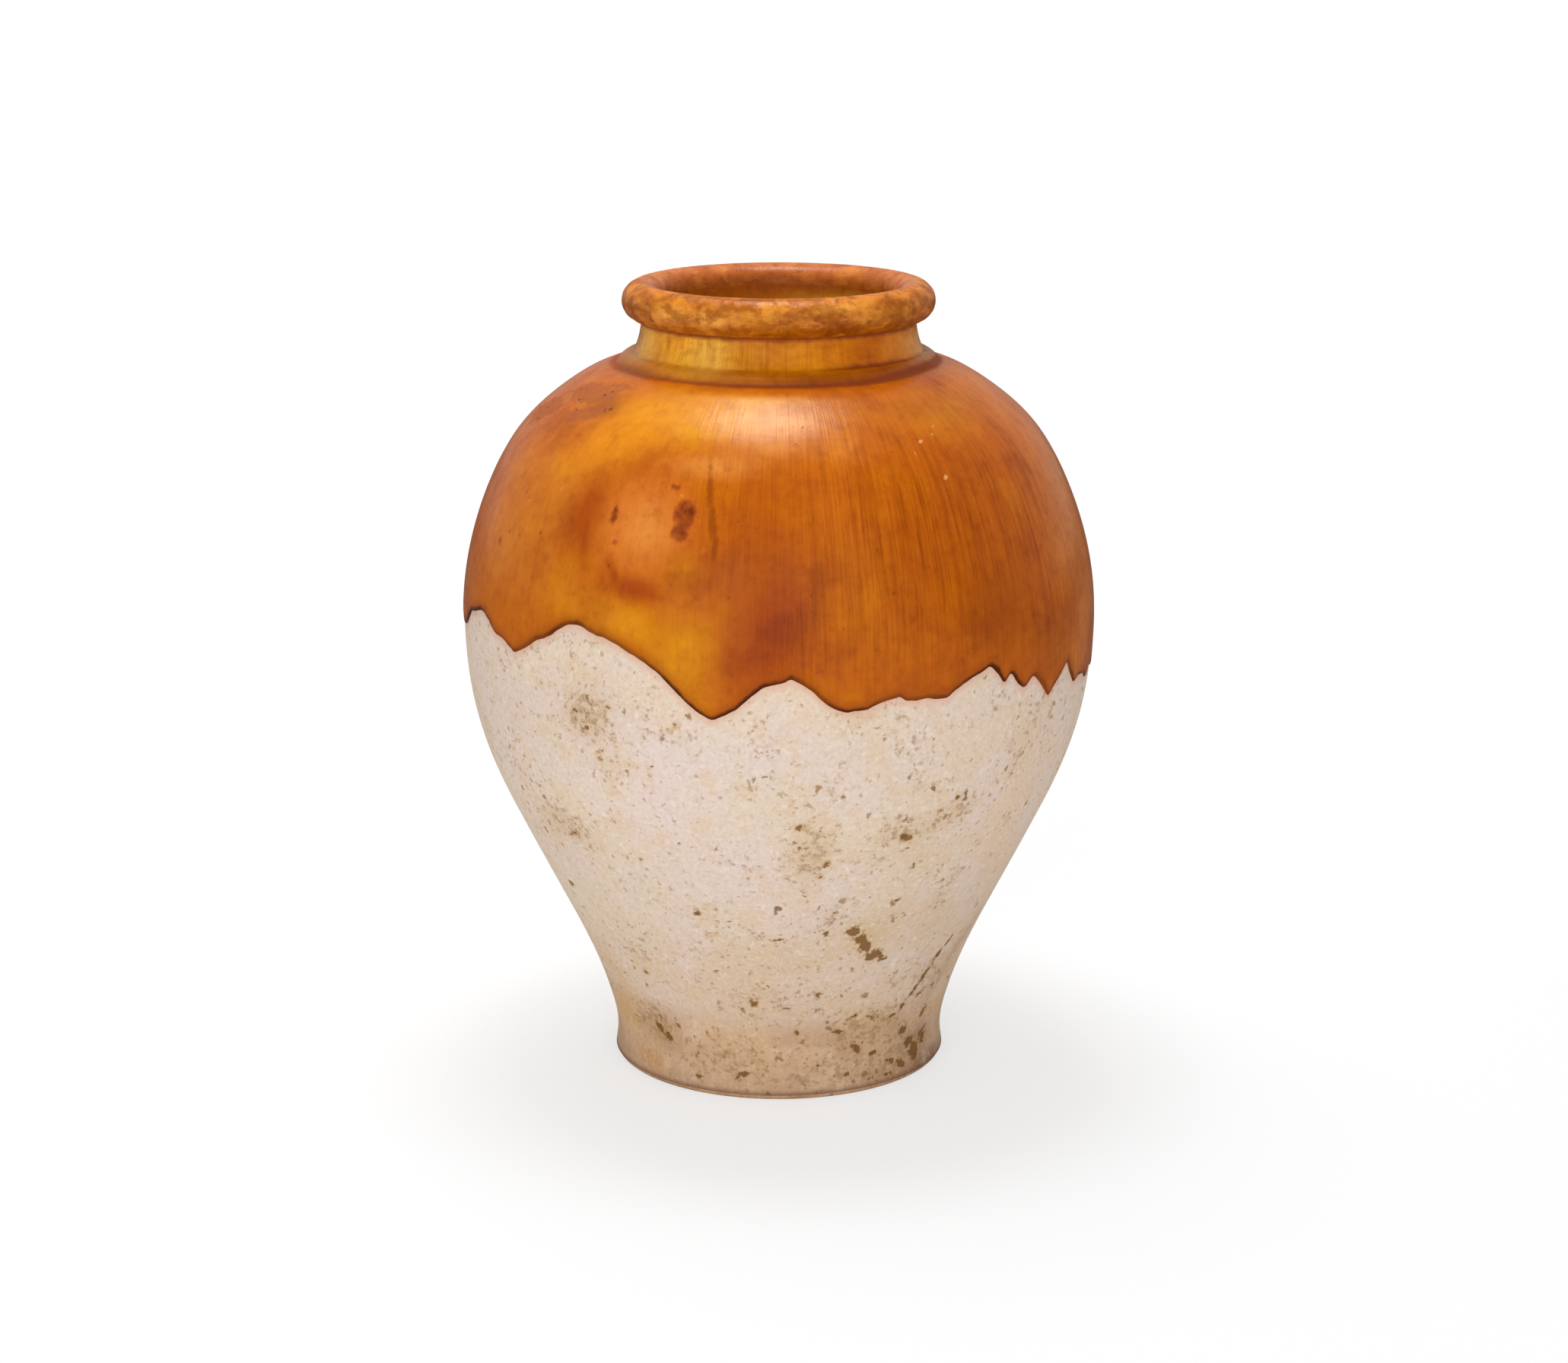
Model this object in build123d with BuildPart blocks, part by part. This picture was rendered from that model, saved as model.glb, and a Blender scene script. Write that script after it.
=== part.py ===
from build123d import *
import os

# Martaban storage jar in fired clay: a narrow foot, a full belly, a short neck and a rolled rim.
# The frame has +Z up, its origin on the ground under the jar's axis, and -Y towards the viewer.
# All lengths are in millimetres. Clay sizes are taken under the glaze and the slip.

# Foot and base
foot_radius = 93.0
foot_edge_round = 3.0
foot_waist_inset = 0.9
foot_waist_height = 15.0
foot_rim_width = 19.0
foot_recess = 5.0
base_inset = 23.0
base_thickness = 15.0
rebate_width = 8.0
rebate_height = 6.0
floor_round = 10.0

# Belly and shoulder
belly_radius = 174.4
belly_height = 257.6
shoulder_rise = 138.2
wall = 10.0

# Neck, coil at its root, and rolled rim
bore_radius = 66.0
neck_wall = 8.2
neck_flare = 8.4
neck_rise = 24.8
throat_round = 6.0
coil_climb = 7.2
coil_reach = 5.4
coil_bulge = 1.6
roll_radius = 9.4

# Joints between the thrown sections
slip_thickness = 0.8
groove = 2.4

# Coats
glaze_thickness = 1.2
wash_thickness = 0.5
wash_overlap = 14.0
glaze_edge_rise = 27.4
glaze_edge_depth = 60.0

# Room for cutting shapes to run past what they cut
overrun = 20.0

# Side lines from waist to belly and from belly to neck root, as shares of the rise and of the swell
lower_side_shares = [
    (0.083, 0.043), (0.242, 0.22), (0.372, 0.41), (0.516, 0.623), (0.66, 0.82), (0.804, 0.948),
]
upper_side_shares = [(0.41, 0.113), (0.60, 0.24), (0.725, 0.362), (0.912, 0.69)]

# Directions of the side lines at the foot and at the neck root, across and up
foot_lean = (-0.12, 1)
root_lean = (-1, 0.15)

# Places of the joints along the two side lines
foot_joint_share = 0.12
waist_joint_share = 0.55
belly_joint_share = 0.86
shoulder_joint_share = 0.28
crown_joint_share = 0.64

# Ragged lower edge of the glaze: degrees round the jar from the front towards +X,
# and how far the edge hangs down, as a share of the edge depth
glaze_edge_shares = [
    (-66, 0.21), (-63, 0.27), (-60, 0.36), (-56, 0.40), (-53, 0.465), (-47, 0.32), (-43, 0.20),
    (-39, 0.05), (-33, 0.105), (-28, 0.18), (-23, 0.31), (-20, 0.44), (-15, 0.67), (-11, 0.80),
    (-7, 0.69), (-4, 0.54), (-1, 0.47), (2, 0.41), (5, 0.49), (8, 0.62), (12, 0.735),
    (17, 0.68), (21, 0.615), (24, 0.69), (27, 0.645), (30, 0.68), (36, 0.51), (39, 0.48),
    (42, 0.63), (45, 0.60), (48, 0.70), (52, 0.70), (55, 0.84), (59, 0.75), (62, 0.68),
    (67, 0.88), (71, 0.85), (75, 0.94), (80, 0.82), (85, 0.98), (92, 0.75), (99, 0.65),
    (105, 0.82), (112, 0.93), (118, 0.78), (125, 0.55), (131, 0.62), (138, 0.82), (143, 0.68),
    (150, 0.45), (157, 0.38), (164, 0.58), (170, 0.70), (176, 0.50), (183, 0.28), (190, 0.35),
    (196, 0.55), (201, 0.63), (208, 0.43), (215, 0.22), (222, 0.15), (229, 0.32), (235, 0.50),
    (240, 0.58), (246, 0.38), (253, 0.18), (260, 0.10), (267, 0.25), (274, 0.42), (280, 0.50),
    (286, 0.38), (290, 0.28), (294, 0.21),
]
edge_cutters = 3

# Points taken along a side line to draw the line beside it
line_samples = 24

# Levels and radii that follow from the sizes above
base_radius = foot_radius - base_inset
waist = (foot_radius - foot_waist_inset, foot_waist_height)
belly = (belly_radius, belly_height)
root_radius = bore_radius + neck_wall + neck_flare + coil_reach
root = (root_radius, belly_height + shoulder_rise)
seat_height = root[1]
floor_height = foot_recess + base_thickness
neck_radius = bore_radius + neck_wall
neck_top = seat_height + neck_rise
roll_centre = (bore_radius + roll_radius, neck_top + roll_radius)
crown_height = roll_centre[1] + roll_radius
rim_height = crown_height + glaze_thickness
beyond = rim_height + belly_radius
edge_top = belly_height + glaze_edge_rise
edge_low = edge_top - glaze_edge_depth - overrun


def between(start, end, shares):
    """Points of a side line from its shares of the rise and of the run."""
    run = end[0] - start[0]
    rise = end[1] - start[1]
    return [(start[0] + run * across, start[1] + rise * up) for up, across in shares]


def joint_on(side, share):
    """Middle of the wall at a share along a side line, with its outward and upward directions."""
    up = side % share
    out = Vector(up.Y, -up.X)
    return side @ share - out * (wall / 2), out, up


def above(joint, lift=0):
    """Outline of all that lies above a joint: flat edges with a V-shaped tongue that points down."""
    middle, out, up = joint
    base = middle + up * lift
    return [
        base + out * beyond,
        base + out * groove,
        base - up * groove,
        base - out * groove,
        base - out * beyond,
        base - out * beyond + up * beyond,
        base + out * beyond + up * beyond,
    ]


# Filled outline of the body, from the ground to the seat of the neck
with BuildSketch(Plane.XZ) as body_shape:
    with BuildLine():
        underside = Line((0, 0), (foot_radius - foot_edge_round, 0))
        foot_edge = TangentArc(underside @ 1, (foot_radius, foot_edge_round), tangent=(1, 0))
        lower_side = Spline(
            [foot_edge @ 1, waist] + between(waist, belly, lower_side_shares) + [belly],
            tangents=[foot_lean, (0, 1)],
            tangent_scalars=[1, 1],
        )
        upper_side = Spline(
            [belly] + between(belly, root, upper_side_shares) + [root],
            tangents=[(0, 1), root_lean],
            tangent_scalars=[1, 1],
        )
        Polyline(root, (0, seat_height), (0, 0))
    make_face()

# Section of the collar, flaring down from the rim to its seat
with BuildSketch(Plane.XZ) as collar_shape:
    with BuildLine():
        neck_side = TangentArc(
            (neck_radius, neck_top), (neck_radius + neck_flare, seat_height), tangent=(0, -1)
        )
        Polyline(neck_side @ 1, (bore_radius, seat_height), (bore_radius, neck_top), neck_side @ 0)
    make_face()

# Section of the coil pressed into the corner between collar and shoulder
coil_top = neck_side @ (1 - coil_climb / neck_side.length)
with BuildSketch(Plane.XZ) as coil_shape:
    with BuildLine():
        SagittaArc(root, coil_top, -coil_bulge)
        Polyline(coil_top, (neck_radius, seat_height), root)
    make_face()
    add(collar_shape.sketch, mode=Mode.SUBTRACT)

# Section of the rolled rim, round outside and straight down its bore
with BuildSketch(Plane.XZ) as roll_shape:
    with Locations(roll_centre):
        Circle(roll_radius)
    with Locations((bore_radius, neck_top)):
        Rectangle(neck_wall, roll_radius, align=Align.MIN)

# Neck and rim as if they were solid
with BuildSketch(Plane.XZ) as neck_shape:
    add(collar_shape.sketch)
    add(coil_shape.sketch)
    add(roll_shape.sketch)
    with Locations((0, seat_height)):
        Rectangle(neck_radius, neck_rise + roll_radius, align=Align.MIN)
    with Locations((0, roll_centre[1])):
        Rectangle(roll_centre[0], roll_radius, align=Align.MIN)


def shifted(side, distance):
    """Smooth line that runs at a steady distance outside a side line, or inside it if negative."""
    points = []
    for step in range(line_samples + 1):
        share = step / line_samples
        up = side % share
        points.append(side @ share + Vector(up.Y, -up.X) * distance)
    return Spline(points, tangents=[side % 0, side % 1], tangent_scalars=[1, 1])


def hollow(lining):
    """Half outline of the space inside the jar, less a lining on its walls."""
    with BuildSketch(Plane.XZ) as space:
        with BuildLine():
            low = shifted(lower_side, -wall - lining)
            high = shifted(upper_side, -wall - lining)
            Polyline(high @ 1, (0, (high @ 1).Y), (0, (low @ 0).Y), low @ 0)
        make_face()
        with Locations((0, floor_height + lining)):
            Rectangle(beyond, beyond, align=Align.MIN, mode=Mode.INTERSECT)
        floor_line = space.vertices().group_by(Axis.Y)[0]
        fillet(floor_line.sort_by(Axis.X)[-1], floor_round - lining)
        with Locations((0, seat_height - wall - overrun)):
            Rectangle(bore_radius - lining, roll_centre[1] + wall + overrun - seat_height, align=Align.MIN)
        throat = space.vertices().sort_by_distance((bore_radius - lining, (high @ 1).Y))[0]
        fillet(throat, throat_round + lining)
        with Locations((0, roll_centre[1])):
            Rectangle(roll_centre[0], roll_radius + overrun, align=Align.MIN)
        with Locations(roll_centre):
            Circle(roll_radius + lining, mode=Mode.SUBTRACT)
    return space.sketch


def coat(thickness):
    """Section of an even coat over the outside, from the foot to the crown of the rim."""
    with BuildSketch(Plane.XZ) as skin:
        with BuildLine():
            low = shifted(lower_side, thickness)
            high = shifted(upper_side, thickness)
            Polyline(high @ 1, (0, (high @ 1).Y), (0, (low @ 0).Y), low @ 0)
        make_face()
        with BuildSketch(Plane.XZ, mode=Mode.PRIVATE) as grown_neck:
            add(neck_shape.sketch)
            offset(amount=thickness)
        add(grown_neck.sketch)
        add(body_shape.sketch, mode=Mode.SUBTRACT)
        add(neck_shape.sketch, mode=Mode.SUBTRACT)
        Rectangle(beyond, beyond, align=Align.MIN, mode=Mode.INTERSECT)
        with Locations((0, roll_centre[1])):
            Rectangle(roll_centre[0], beyond, align=Align.MIN, mode=Mode.SUBTRACT)
    return skin.sketch


# Section of all the clay
with BuildSketch(Plane.XZ) as clay_section:
    add(body_shape.sketch)
    add(neck_shape.sketch)
    add(hollow(0), mode=Mode.SUBTRACT)
    Rectangle(foot_radius - foot_rim_width, foot_recess, align=Align.MIN, mode=Mode.SUBTRACT)

# Joints from the ground up
foot_joint = joint_on(lower_side, foot_joint_share)
waist_joint = joint_on(lower_side, waist_joint_share)
belly_joint = joint_on(lower_side, belly_joint_share)
shoulder_joint = joint_on(upper_side, shoulder_joint_share)
crown_joint = joint_on(upper_side, crown_joint_share)
neck_joint = (Vector(bore_radius + (neck_wall + neck_flare) / 2, seat_height), Vector(1, 0), Vector(0, 1))
rim_joint = (Vector(bore_radius + neck_wall / 2, neck_top), Vector(1, 0), Vector(0, 1))
wall_joints = [
    foot_joint, waist_joint, belly_joint, shoulder_joint, crown_joint, neck_joint, rim_joint,
]

# Base disc, with a rebate round its underside
with BuildPart() as base_slab:
    with BuildSketch(Plane.XZ) as slab_section:
        with Locations((0, foot_recess + rebate_height)):
            Rectangle(base_radius, base_thickness - rebate_height, align=Align.MIN)
        with Locations((0, foot_recess)):
            Rectangle(base_radius - rebate_width, rebate_height, align=Align.MIN)
    revolve(axis=Axis.Z)

# Room that the base disc takes in the foot, with the slip around it
with BuildSketch(Plane.XZ) as slab_room:
    add(slab_section.sketch)
    offset(amount=slip_thickness, kind=Kind.INTERSECTION)

# Foot ring, turned with a rebate that carries the base disc
with BuildPart() as foot_ring:
    with BuildSketch(Plane.XZ):
        add(clay_section.sketch)
        add(slab_room.sketch, mode=Mode.SUBTRACT)
        Polygon(*above(foot_joint), align=None, mode=Mode.SUBTRACT)
    revolve(axis=Axis.Z)


def section_between(lower_joint, upper_joint):
    """Ring of clay between two joints: a tongue on its lower edge, a groove in its upper edge."""
    with BuildPart() as ring:
        with BuildSketch(Plane.XZ):
            add(clay_section.sketch)
            Polygon(*above(lower_joint, slip_thickness), align=None, mode=Mode.INTERSECT)
            Polygon(*above(upper_joint), align=None, mode=Mode.SUBTRACT)
        revolve(axis=Axis.Z)
    return ring


# Wall of the jar in five sections, from the flaring cone above the foot to the seat of the neck
lower_wall = section_between(foot_joint, waist_joint)
lower_belly = section_between(waist_joint, belly_joint)
upper_belly = section_between(belly_joint, shoulder_joint)
lower_shoulder = section_between(shoulder_joint, crown_joint)
upper_shoulder = section_between(crown_joint, neck_joint)

# Neck collar, standing on the shoulder with its tongue in the seat
with BuildPart() as neck_collar:
    with BuildSketch(Plane.XZ):
        add(clay_section.sketch)
        add(coil_shape.sketch, mode=Mode.SUBTRACT)
        Polygon(*above(neck_joint, slip_thickness), align=None, mode=Mode.INTERSECT)
        Polygon(*above(rim_joint), align=None, mode=Mode.SUBTRACT)
    revolve(axis=Axis.Z)

# Coil round the root of the neck
with BuildPart() as neck_coil:
    with BuildSketch(Plane.XZ):
        add(coil_shape.sketch)
    revolve(axis=Axis.Z)

# Rolled rim round the mouth
with BuildPart() as rim_roll:
    with BuildSketch(Plane.XZ):
        add(clay_section.sketch)
        Polygon(*above(rim_joint, slip_thickness), align=None, mode=Mode.INTERSECT)
    revolve(axis=Axis.Z)

# Luting slip, one ring in each joint
with BuildPart() as luting_slip:
    with BuildSketch(Plane.XZ):
        for joint in wall_joints:
            with BuildSketch(Plane.XZ, mode=Mode.PRIVATE) as seam:
                add(clay_section.sketch)
                add(coil_shape.sketch, mode=Mode.SUBTRACT)
                Polygon(*above(joint), align=None, mode=Mode.INTERSECT)
                Polygon(*above(joint, slip_thickness), align=None, mode=Mode.SUBTRACT)
            add(seam.sketch)
        with BuildSketch(Plane.XZ, mode=Mode.PRIVATE) as base_seam:
            add(slab_room.sketch)
            add(slab_section.sketch, mode=Mode.SUBTRACT)
            add(clay_section.sketch, mode=Mode.INTERSECT)
        add(base_seam.sketch)
    revolve(axis=Axis.Z)

# Pale lime wash over the bare lower body, running up under the glaze
with BuildPart() as pale_wash:
    with BuildSketch(Plane.XZ) as wash_section:
        add(coat(wash_thickness))
        Rectangle(beyond, edge_top + wash_overlap, align=Align.MIN, mode=Mode.INTERSECT)
    revolve(axis=Axis.Z)

# Number of spans in the ragged edge of the glaze
edge_count = len(glaze_edge_shares) - 1


def edge_cutter(first, last):
    """Wedge of a ring whose top follows the glaze edge from one point of the table to another."""
    with BuildPart() as cutter:
        for angle, drop in glaze_edge_shares[first:last + 1]:
            height = edge_top - glaze_edge_depth * drop - edge_low
            with BuildSketch(Plane.XZ.rotated((0, 0, angle - 90))):
                with Locations((belly_radius - overrun, edge_low - overrun)):
                    Rectangle(2 * overrun, height + overrun, align=Align.MIN)
        loft(ruled=True)
    return cutter.part


# Amber glaze outside, from the crown of the rim down to its ragged edge
with BuildPart() as outer_glaze:
    with BuildSketch(Plane.XZ):
        add(coat(glaze_thickness))
        add(wash_section.sketch, mode=Mode.SUBTRACT)
        with Locations((0, edge_low)):
            Rectangle(beyond, beyond, align=Align.MIN, mode=Mode.INTERSECT)
    revolve(axis=Axis.Z)
    for turn in range(edge_cutters):
        first = edge_count * turn // edge_cutters
        last = edge_count * (turn + 1) // edge_cutters
        add(edge_cutter(first, last), mode=Mode.SUBTRACT)

# Amber glaze inside, lining the floor, the wall and the bore up to the crown of the rim
with BuildPart() as inner_glaze:
    with BuildSketch(Plane.XZ):
        add(hollow(0))
        add(hollow(glaze_thickness), mode=Mode.SUBTRACT)
    revolve(axis=Axis.Z)

# Labels and files
pieces = {
    "base_slab": base_slab,
    "foot_ring": foot_ring,
    "lower_wall": lower_wall,
    "lower_belly": lower_belly,
    "upper_belly": upper_belly,
    "lower_shoulder": lower_shoulder,
    "upper_shoulder": upper_shoulder,
    "neck_collar": neck_collar,
    "neck_coil": neck_coil,
    "rim_roll": rim_roll,
    "luting_slip": luting_slip,
    "pale_wash": pale_wash,
    "outer_glaze": outer_glaze,
    "inner_glaze": inner_glaze,
}

os.makedirs("parts", exist_ok=True)
for name, piece in pieces.items():
    piece.part.label = name
    export_step(piece.part, f"parts/{name}.step")
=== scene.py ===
# %% [markdown]
# # A martaban jar, from bare clay to drips of glaze
#
# A martaban is a big storage jar for water, oil or pickles. This one is pale and matt below, and
# amber and shiny above, where the potter dipped it upside down in glaze.
#
# The clay comes ready from the workshop: it is loaded as a fixed frame, at its real size, with +Z up
# and the viewer at -Y. Blender's task is what the eye sees: the coats, their wear and the light.

# %% Load the clay
import math
import bmesh
import bpy
import numpy as np
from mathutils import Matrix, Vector
from mathutils import noise as blender_noise


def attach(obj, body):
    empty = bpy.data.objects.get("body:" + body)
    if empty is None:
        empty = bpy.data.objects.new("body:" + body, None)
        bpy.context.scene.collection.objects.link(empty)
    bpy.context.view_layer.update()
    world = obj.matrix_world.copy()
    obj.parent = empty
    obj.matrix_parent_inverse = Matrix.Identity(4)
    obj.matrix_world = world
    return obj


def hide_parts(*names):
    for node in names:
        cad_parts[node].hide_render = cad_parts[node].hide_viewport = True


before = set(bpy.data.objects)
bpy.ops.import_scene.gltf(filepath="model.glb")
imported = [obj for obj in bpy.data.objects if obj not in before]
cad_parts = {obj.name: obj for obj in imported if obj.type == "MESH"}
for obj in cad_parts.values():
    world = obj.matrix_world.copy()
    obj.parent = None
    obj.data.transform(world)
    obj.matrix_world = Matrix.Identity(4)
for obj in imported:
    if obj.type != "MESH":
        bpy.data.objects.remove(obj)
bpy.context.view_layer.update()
MM = 0.001
print("clay pieces:", ", ".join(sorted(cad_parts)))

# %% [markdown]
# ## Reading the outline
#
# A potter checks a jar against a wooden template of its outline. We take ours from the clay: a piece
# is cut with a half plane that hangs from the jar's axis, and the cut edges are walked round in order.
# Every coat below is then drawn from a line that fits the jar exactly, with no numbers copied over.
# The cut passes just beside a row of the mesh's points, so that it never runs along one.
#
# Directions round the jar are in degrees from the front (-Y) towards +X.

# %% Cut a piece and walk round the cut
JUST_BESIDE = 0.01
CUT_AZIMUTH = 90 + JUST_BESIDE
CUT_MERGE = 1e-6


def out_at(azimuth):
    """Unit vector that points away from the axis at an azimuth in degrees."""
    turn = math.radians(azimuth)
    return Vector((math.sin(turn), -math.cos(turn), 0))


def outline_of(name, azimuth):
    """Closed outline of a clay piece or coat at an azimuth, as rows of (radius, height)."""
    out = out_at(azimuth)
    knife = bmesh.new()
    knife.from_mesh(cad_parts[name].data)
    bmesh.ops.remove_doubles(knife, verts=knife.verts, dist=CUT_MERGE)
    everything = knife.verts[:] + knife.edges[:] + knife.faces[:]
    bmesh.ops.bisect_plane(
        knife, geom=everything, plane_co=(0, 0, 0), plane_no=out_at(azimuth + 90),
        clear_inner=True, clear_outer=True,
    )
    far_side = [v for v in knife.verts if v.co.dot(out) < -CUT_MERGE]
    bmesh.ops.delete(knife, geom=far_side, context="VERTS")
    bmesh.ops.remove_doubles(knife, verts=knife.verts, dist=2 * CUT_MERGE)
    ends = [v for v in knife.verts if len(v.link_edges) == 1]
    step = ends[0] if ends else min(knife.verts, key=lambda v: v.co.z)
    walked = []
    seen = set()
    while step is not None:
        seen.add(step)
        walked.append((step.co.dot(out), step.co.z))
        ahead = [e.other_vert(step) for e in step.link_edges]
        step = next((v for v in ahead if v not in seen), None)
    knife.free()
    return np.array(walked)


wash_outline = outline_of("pale_wash", CUT_AZIMUTH)
print("points round the wash's outline:", len(wash_outline))

# %% [markdown]
# The outline of a coat has a front, which faces the air, and a back, which lies on the clay. Both run
# from one chosen point to another. Of the two ways round, the front has the larger mean radius on the
# outside of the jar, and the smaller one inside it.
#
# The walked points are a few millimetres apart. A smooth cubic through them, with its corners kept
# sharp, gives a line fine enough for gloss, which shows every flat facet.
#
# The wash starts and ends at its outer corners. They are the points nearest to two far places: one
# out on the ground, and one out above the rim.

# %% Split an outline and smooth it
CORNER = math.radians(16)
FINE_STEP = 0.4 * MM
SHORTEST_STEP = 0.02 * MM
OUT_AND_LOW = (0.2, 0.0)
OUT_AND_HIGH = (0.3, 0.5)


def two_ways(outline, start, end):
    """The two lines that lead round a closed outline from one of its points to another."""
    loop = np.roll(outline, -start, axis=0)
    split = (end - start) % len(outline)
    onward = loop[:split + 1]
    back = np.vstack([loop[:1], loop[split:][::-1]])
    return onward, back


def smooth(line, spacing=FINE_STEP):
    """Points along a smooth cubic through a line, evenly spaced, with sharp corners kept."""
    step = np.diff(line, axis=0)
    size = np.hypot(*step.T)
    keep = np.concatenate([[True], size > SHORTEST_STEP])
    line = line[keep]
    step = np.diff(line, axis=0)
    size = np.hypot(*step.T)
    way = step / size[:, None]
    turn = np.abs(np.arccos(np.clip((way[1:] * way[:-1]).sum(axis=1), -1, 1)))
    mid = way[1:] * size[:-1, None] + way[:-1] * size[1:, None]
    mid /= np.hypot(*mid.T)[:, None]
    leave = np.vstack([way[:1], np.where(turn[:, None] > CORNER, way[1:], mid)])
    arrive = np.vstack([np.where(turn[:, None] > CORNER, way[:-1], mid), way[-1:]])
    pieces = []
    for k, length in enumerate(size):
        t = np.linspace(0, 1, max(2, int(length / spacing) + 1), endpoint=False)[:, None]
        a, b = line[k], line[k + 1]
        pieces.append(
            (2 * t**3 - 3 * t**2 + 1) * a + (t**3 - 2 * t**2 + t) * leave[k] * length
            + (3 * t**2 - 2 * t**3) * b + (t**3 - t**2) * arrive[k] * length
        )
    fine = np.vstack(pieces + [line[-1:]])
    run = np.concatenate([[0], np.cumsum(np.hypot(*np.diff(fine, axis=0).T))])
    even = np.linspace(0, run[-1], int(run[-1] / spacing) + 1)
    return np.column_stack([np.interp(even, run, fine[:, 0]), np.interp(even, run, fine[:, 1])])


def nearest(outline, radius, height):
    """Index of the outline's point nearest to a place."""
    return int(np.argmin(np.hypot(outline[:, 0] - radius, outline[:, 1] - height)))


low_corner = nearest(wash_outline, *OUT_AND_LOW)
high_corner = nearest(wash_outline, *OUT_AND_HIGH)
ways = two_ways(wash_outline, low_corner, high_corner)
wash_front, wash_back = sorted(ways, key=lambda line: -smooth(line)[:, 0].mean())
wash_front = smooth(wash_front)
wash_back = smooth(wash_back)
print("wash runs from", np.round(wash_front[0] / MM, 1), "to", np.round(wash_front[-1] / MM, 1))

# %% [markdown]
# ## Turning a line on the wheel
#
# The wash and the lining are lathe shapes, so Geometry Nodes throw them like a potter's wheel: a grid
# is laid out in turns and heights, each of its points is looked up on the template line, and then it
# is swung round the axis. A little noise lets the wall breathe, because nothing thrown by hand is
# quite round, and fine ripples stand for the marks of the potter's fingers.
#
# A second line, for the back of the coat, closes the shell along its two edges.

# %% Node helpers
def put(tree, kind, inputs=None, **settings):
    """Adds a node, sets what it is told, and fills its inputs with values or other nodes' outputs."""
    node = tree.nodes.new(kind)
    for name, value in settings.items():
        setattr(node, name, value)
    for name, value in (inputs or {}).items():
        if isinstance(value, bpy.types.NodeSocket):
            tree.links.new(value, node.inputs[name])
        else:
            node.inputs[name].default_value = value
    return node


def calc(tree, operation, *values):
    """Output of a Math node."""
    return put(tree, "ShaderNodeMath", dict(enumerate(values)), operation=operation).outputs[0]


def plus(tree, first, second):
    """Sum of two values."""
    return calc(tree, "ADD", first, second)


def minus(tree, first, second):
    """What stays of a value when another is taken off."""
    return calc(tree, "SUBTRACT", first, second)


def times(tree, first, second):
    """Product of two values."""
    return calc(tree, "MULTIPLY", first, second)


def vector_calc(tree, operation, *values):
    """Vector output of a Vector Math node. Scaling takes a vector and one value."""
    places = (0, 3) if operation == "SCALE" else (0, 1, 2)
    return put(tree, "ShaderNodeVectorMath", dict(zip(places, values)), operation=operation).outputs[0]


def ease(tree, value, low, high, to_low=0.0, to_high=1.0):
    """A smooth step from one output value to another, as an input value goes from low to high."""
    return put(
        tree, "ShaderNodeMapRange",
        {"Value": value, "From Min": low, "From Max": high, "To Min": to_low, "To Max": to_high},
        interpolation_type="SMOOTHSTEP",
    ).outputs["Result"]


# %% The wheel, as a Geometry Nodes tree
LUMPS_PER_METRE = 9
RINGS_PER_METRE = (6, 6, 130)
FADE_SHARE = 0.03


def wheel_side(tree, inside, curve_index, rows, wobble, ripple):
    """One skin of a shell: a grid whose points are looked up on a line and swung round the axis."""
    columns = plus(tree, inside["Columns"], 1)
    grid = put(tree, "GeometryNodeMeshGrid", {
        "Size X": 1, "Size Y": 1, "Vertices X": columns, "Vertices Y": rows})
    position = put(tree, "GeometryNodeInputPosition").outputs[0]
    place = put(tree, "ShaderNodeSeparateXYZ", {"Vector": position}).outputs
    around = plus(tree, place["X"], 0.5)
    along = plus(tree, place["Y"], 0.5)
    looked_up = put(tree, "GeometryNodeSampleCurve", {
        "Curves": inside["Lines"], "Factor": along, "Curve Index": curve_index}, mode="FACTOR")
    swung = put(tree, "ShaderNodeVectorRotate", {
        "Vector": looked_up.outputs["Position"], "Angle": times(tree, around, math.tau),
    }, rotation_type="Z_AXIS").outputs[0]
    shift = put(tree, "ShaderNodeCombineXYZ", {"Z": inside["Seed"]}).outputs[0]
    seeded = vector_calc(tree, "ADD", swung, shift)
    lumps = put(tree, "ShaderNodeTexNoise", {
        "Vector": seeded, "Scale": LUMPS_PER_METRE, "Detail": 2}).outputs[0]
    rings = put(tree, "ShaderNodeTexNoise", {
        "Vector": vector_calc(tree, "MULTIPLY", seeded, RINGS_PER_METRE), "Scale": 1, "Detail": 1,
    }).outputs[0]
    sink = plus(tree, times(tree, lumps, wobble), times(tree, rings, ripple))
    inland = times(tree, ease(tree, along, 0, FADE_SHARE), ease(tree, along, 1, 1 - FADE_SHARE))
    flat = vector_calc(tree, "NORMALIZE", vector_calc(tree, "MULTIPLY", swung, (1, 1, 0)))
    push = vector_calc(tree, "SCALE", flat, times(tree, sink, inland))
    moved = vector_calc(tree, "SUBTRACT", swung, push)
    return put(tree, "GeometryNodeSetPosition", {
        "Geometry": grid.outputs["Mesh"], "Position": moved}).outputs[0]


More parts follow.
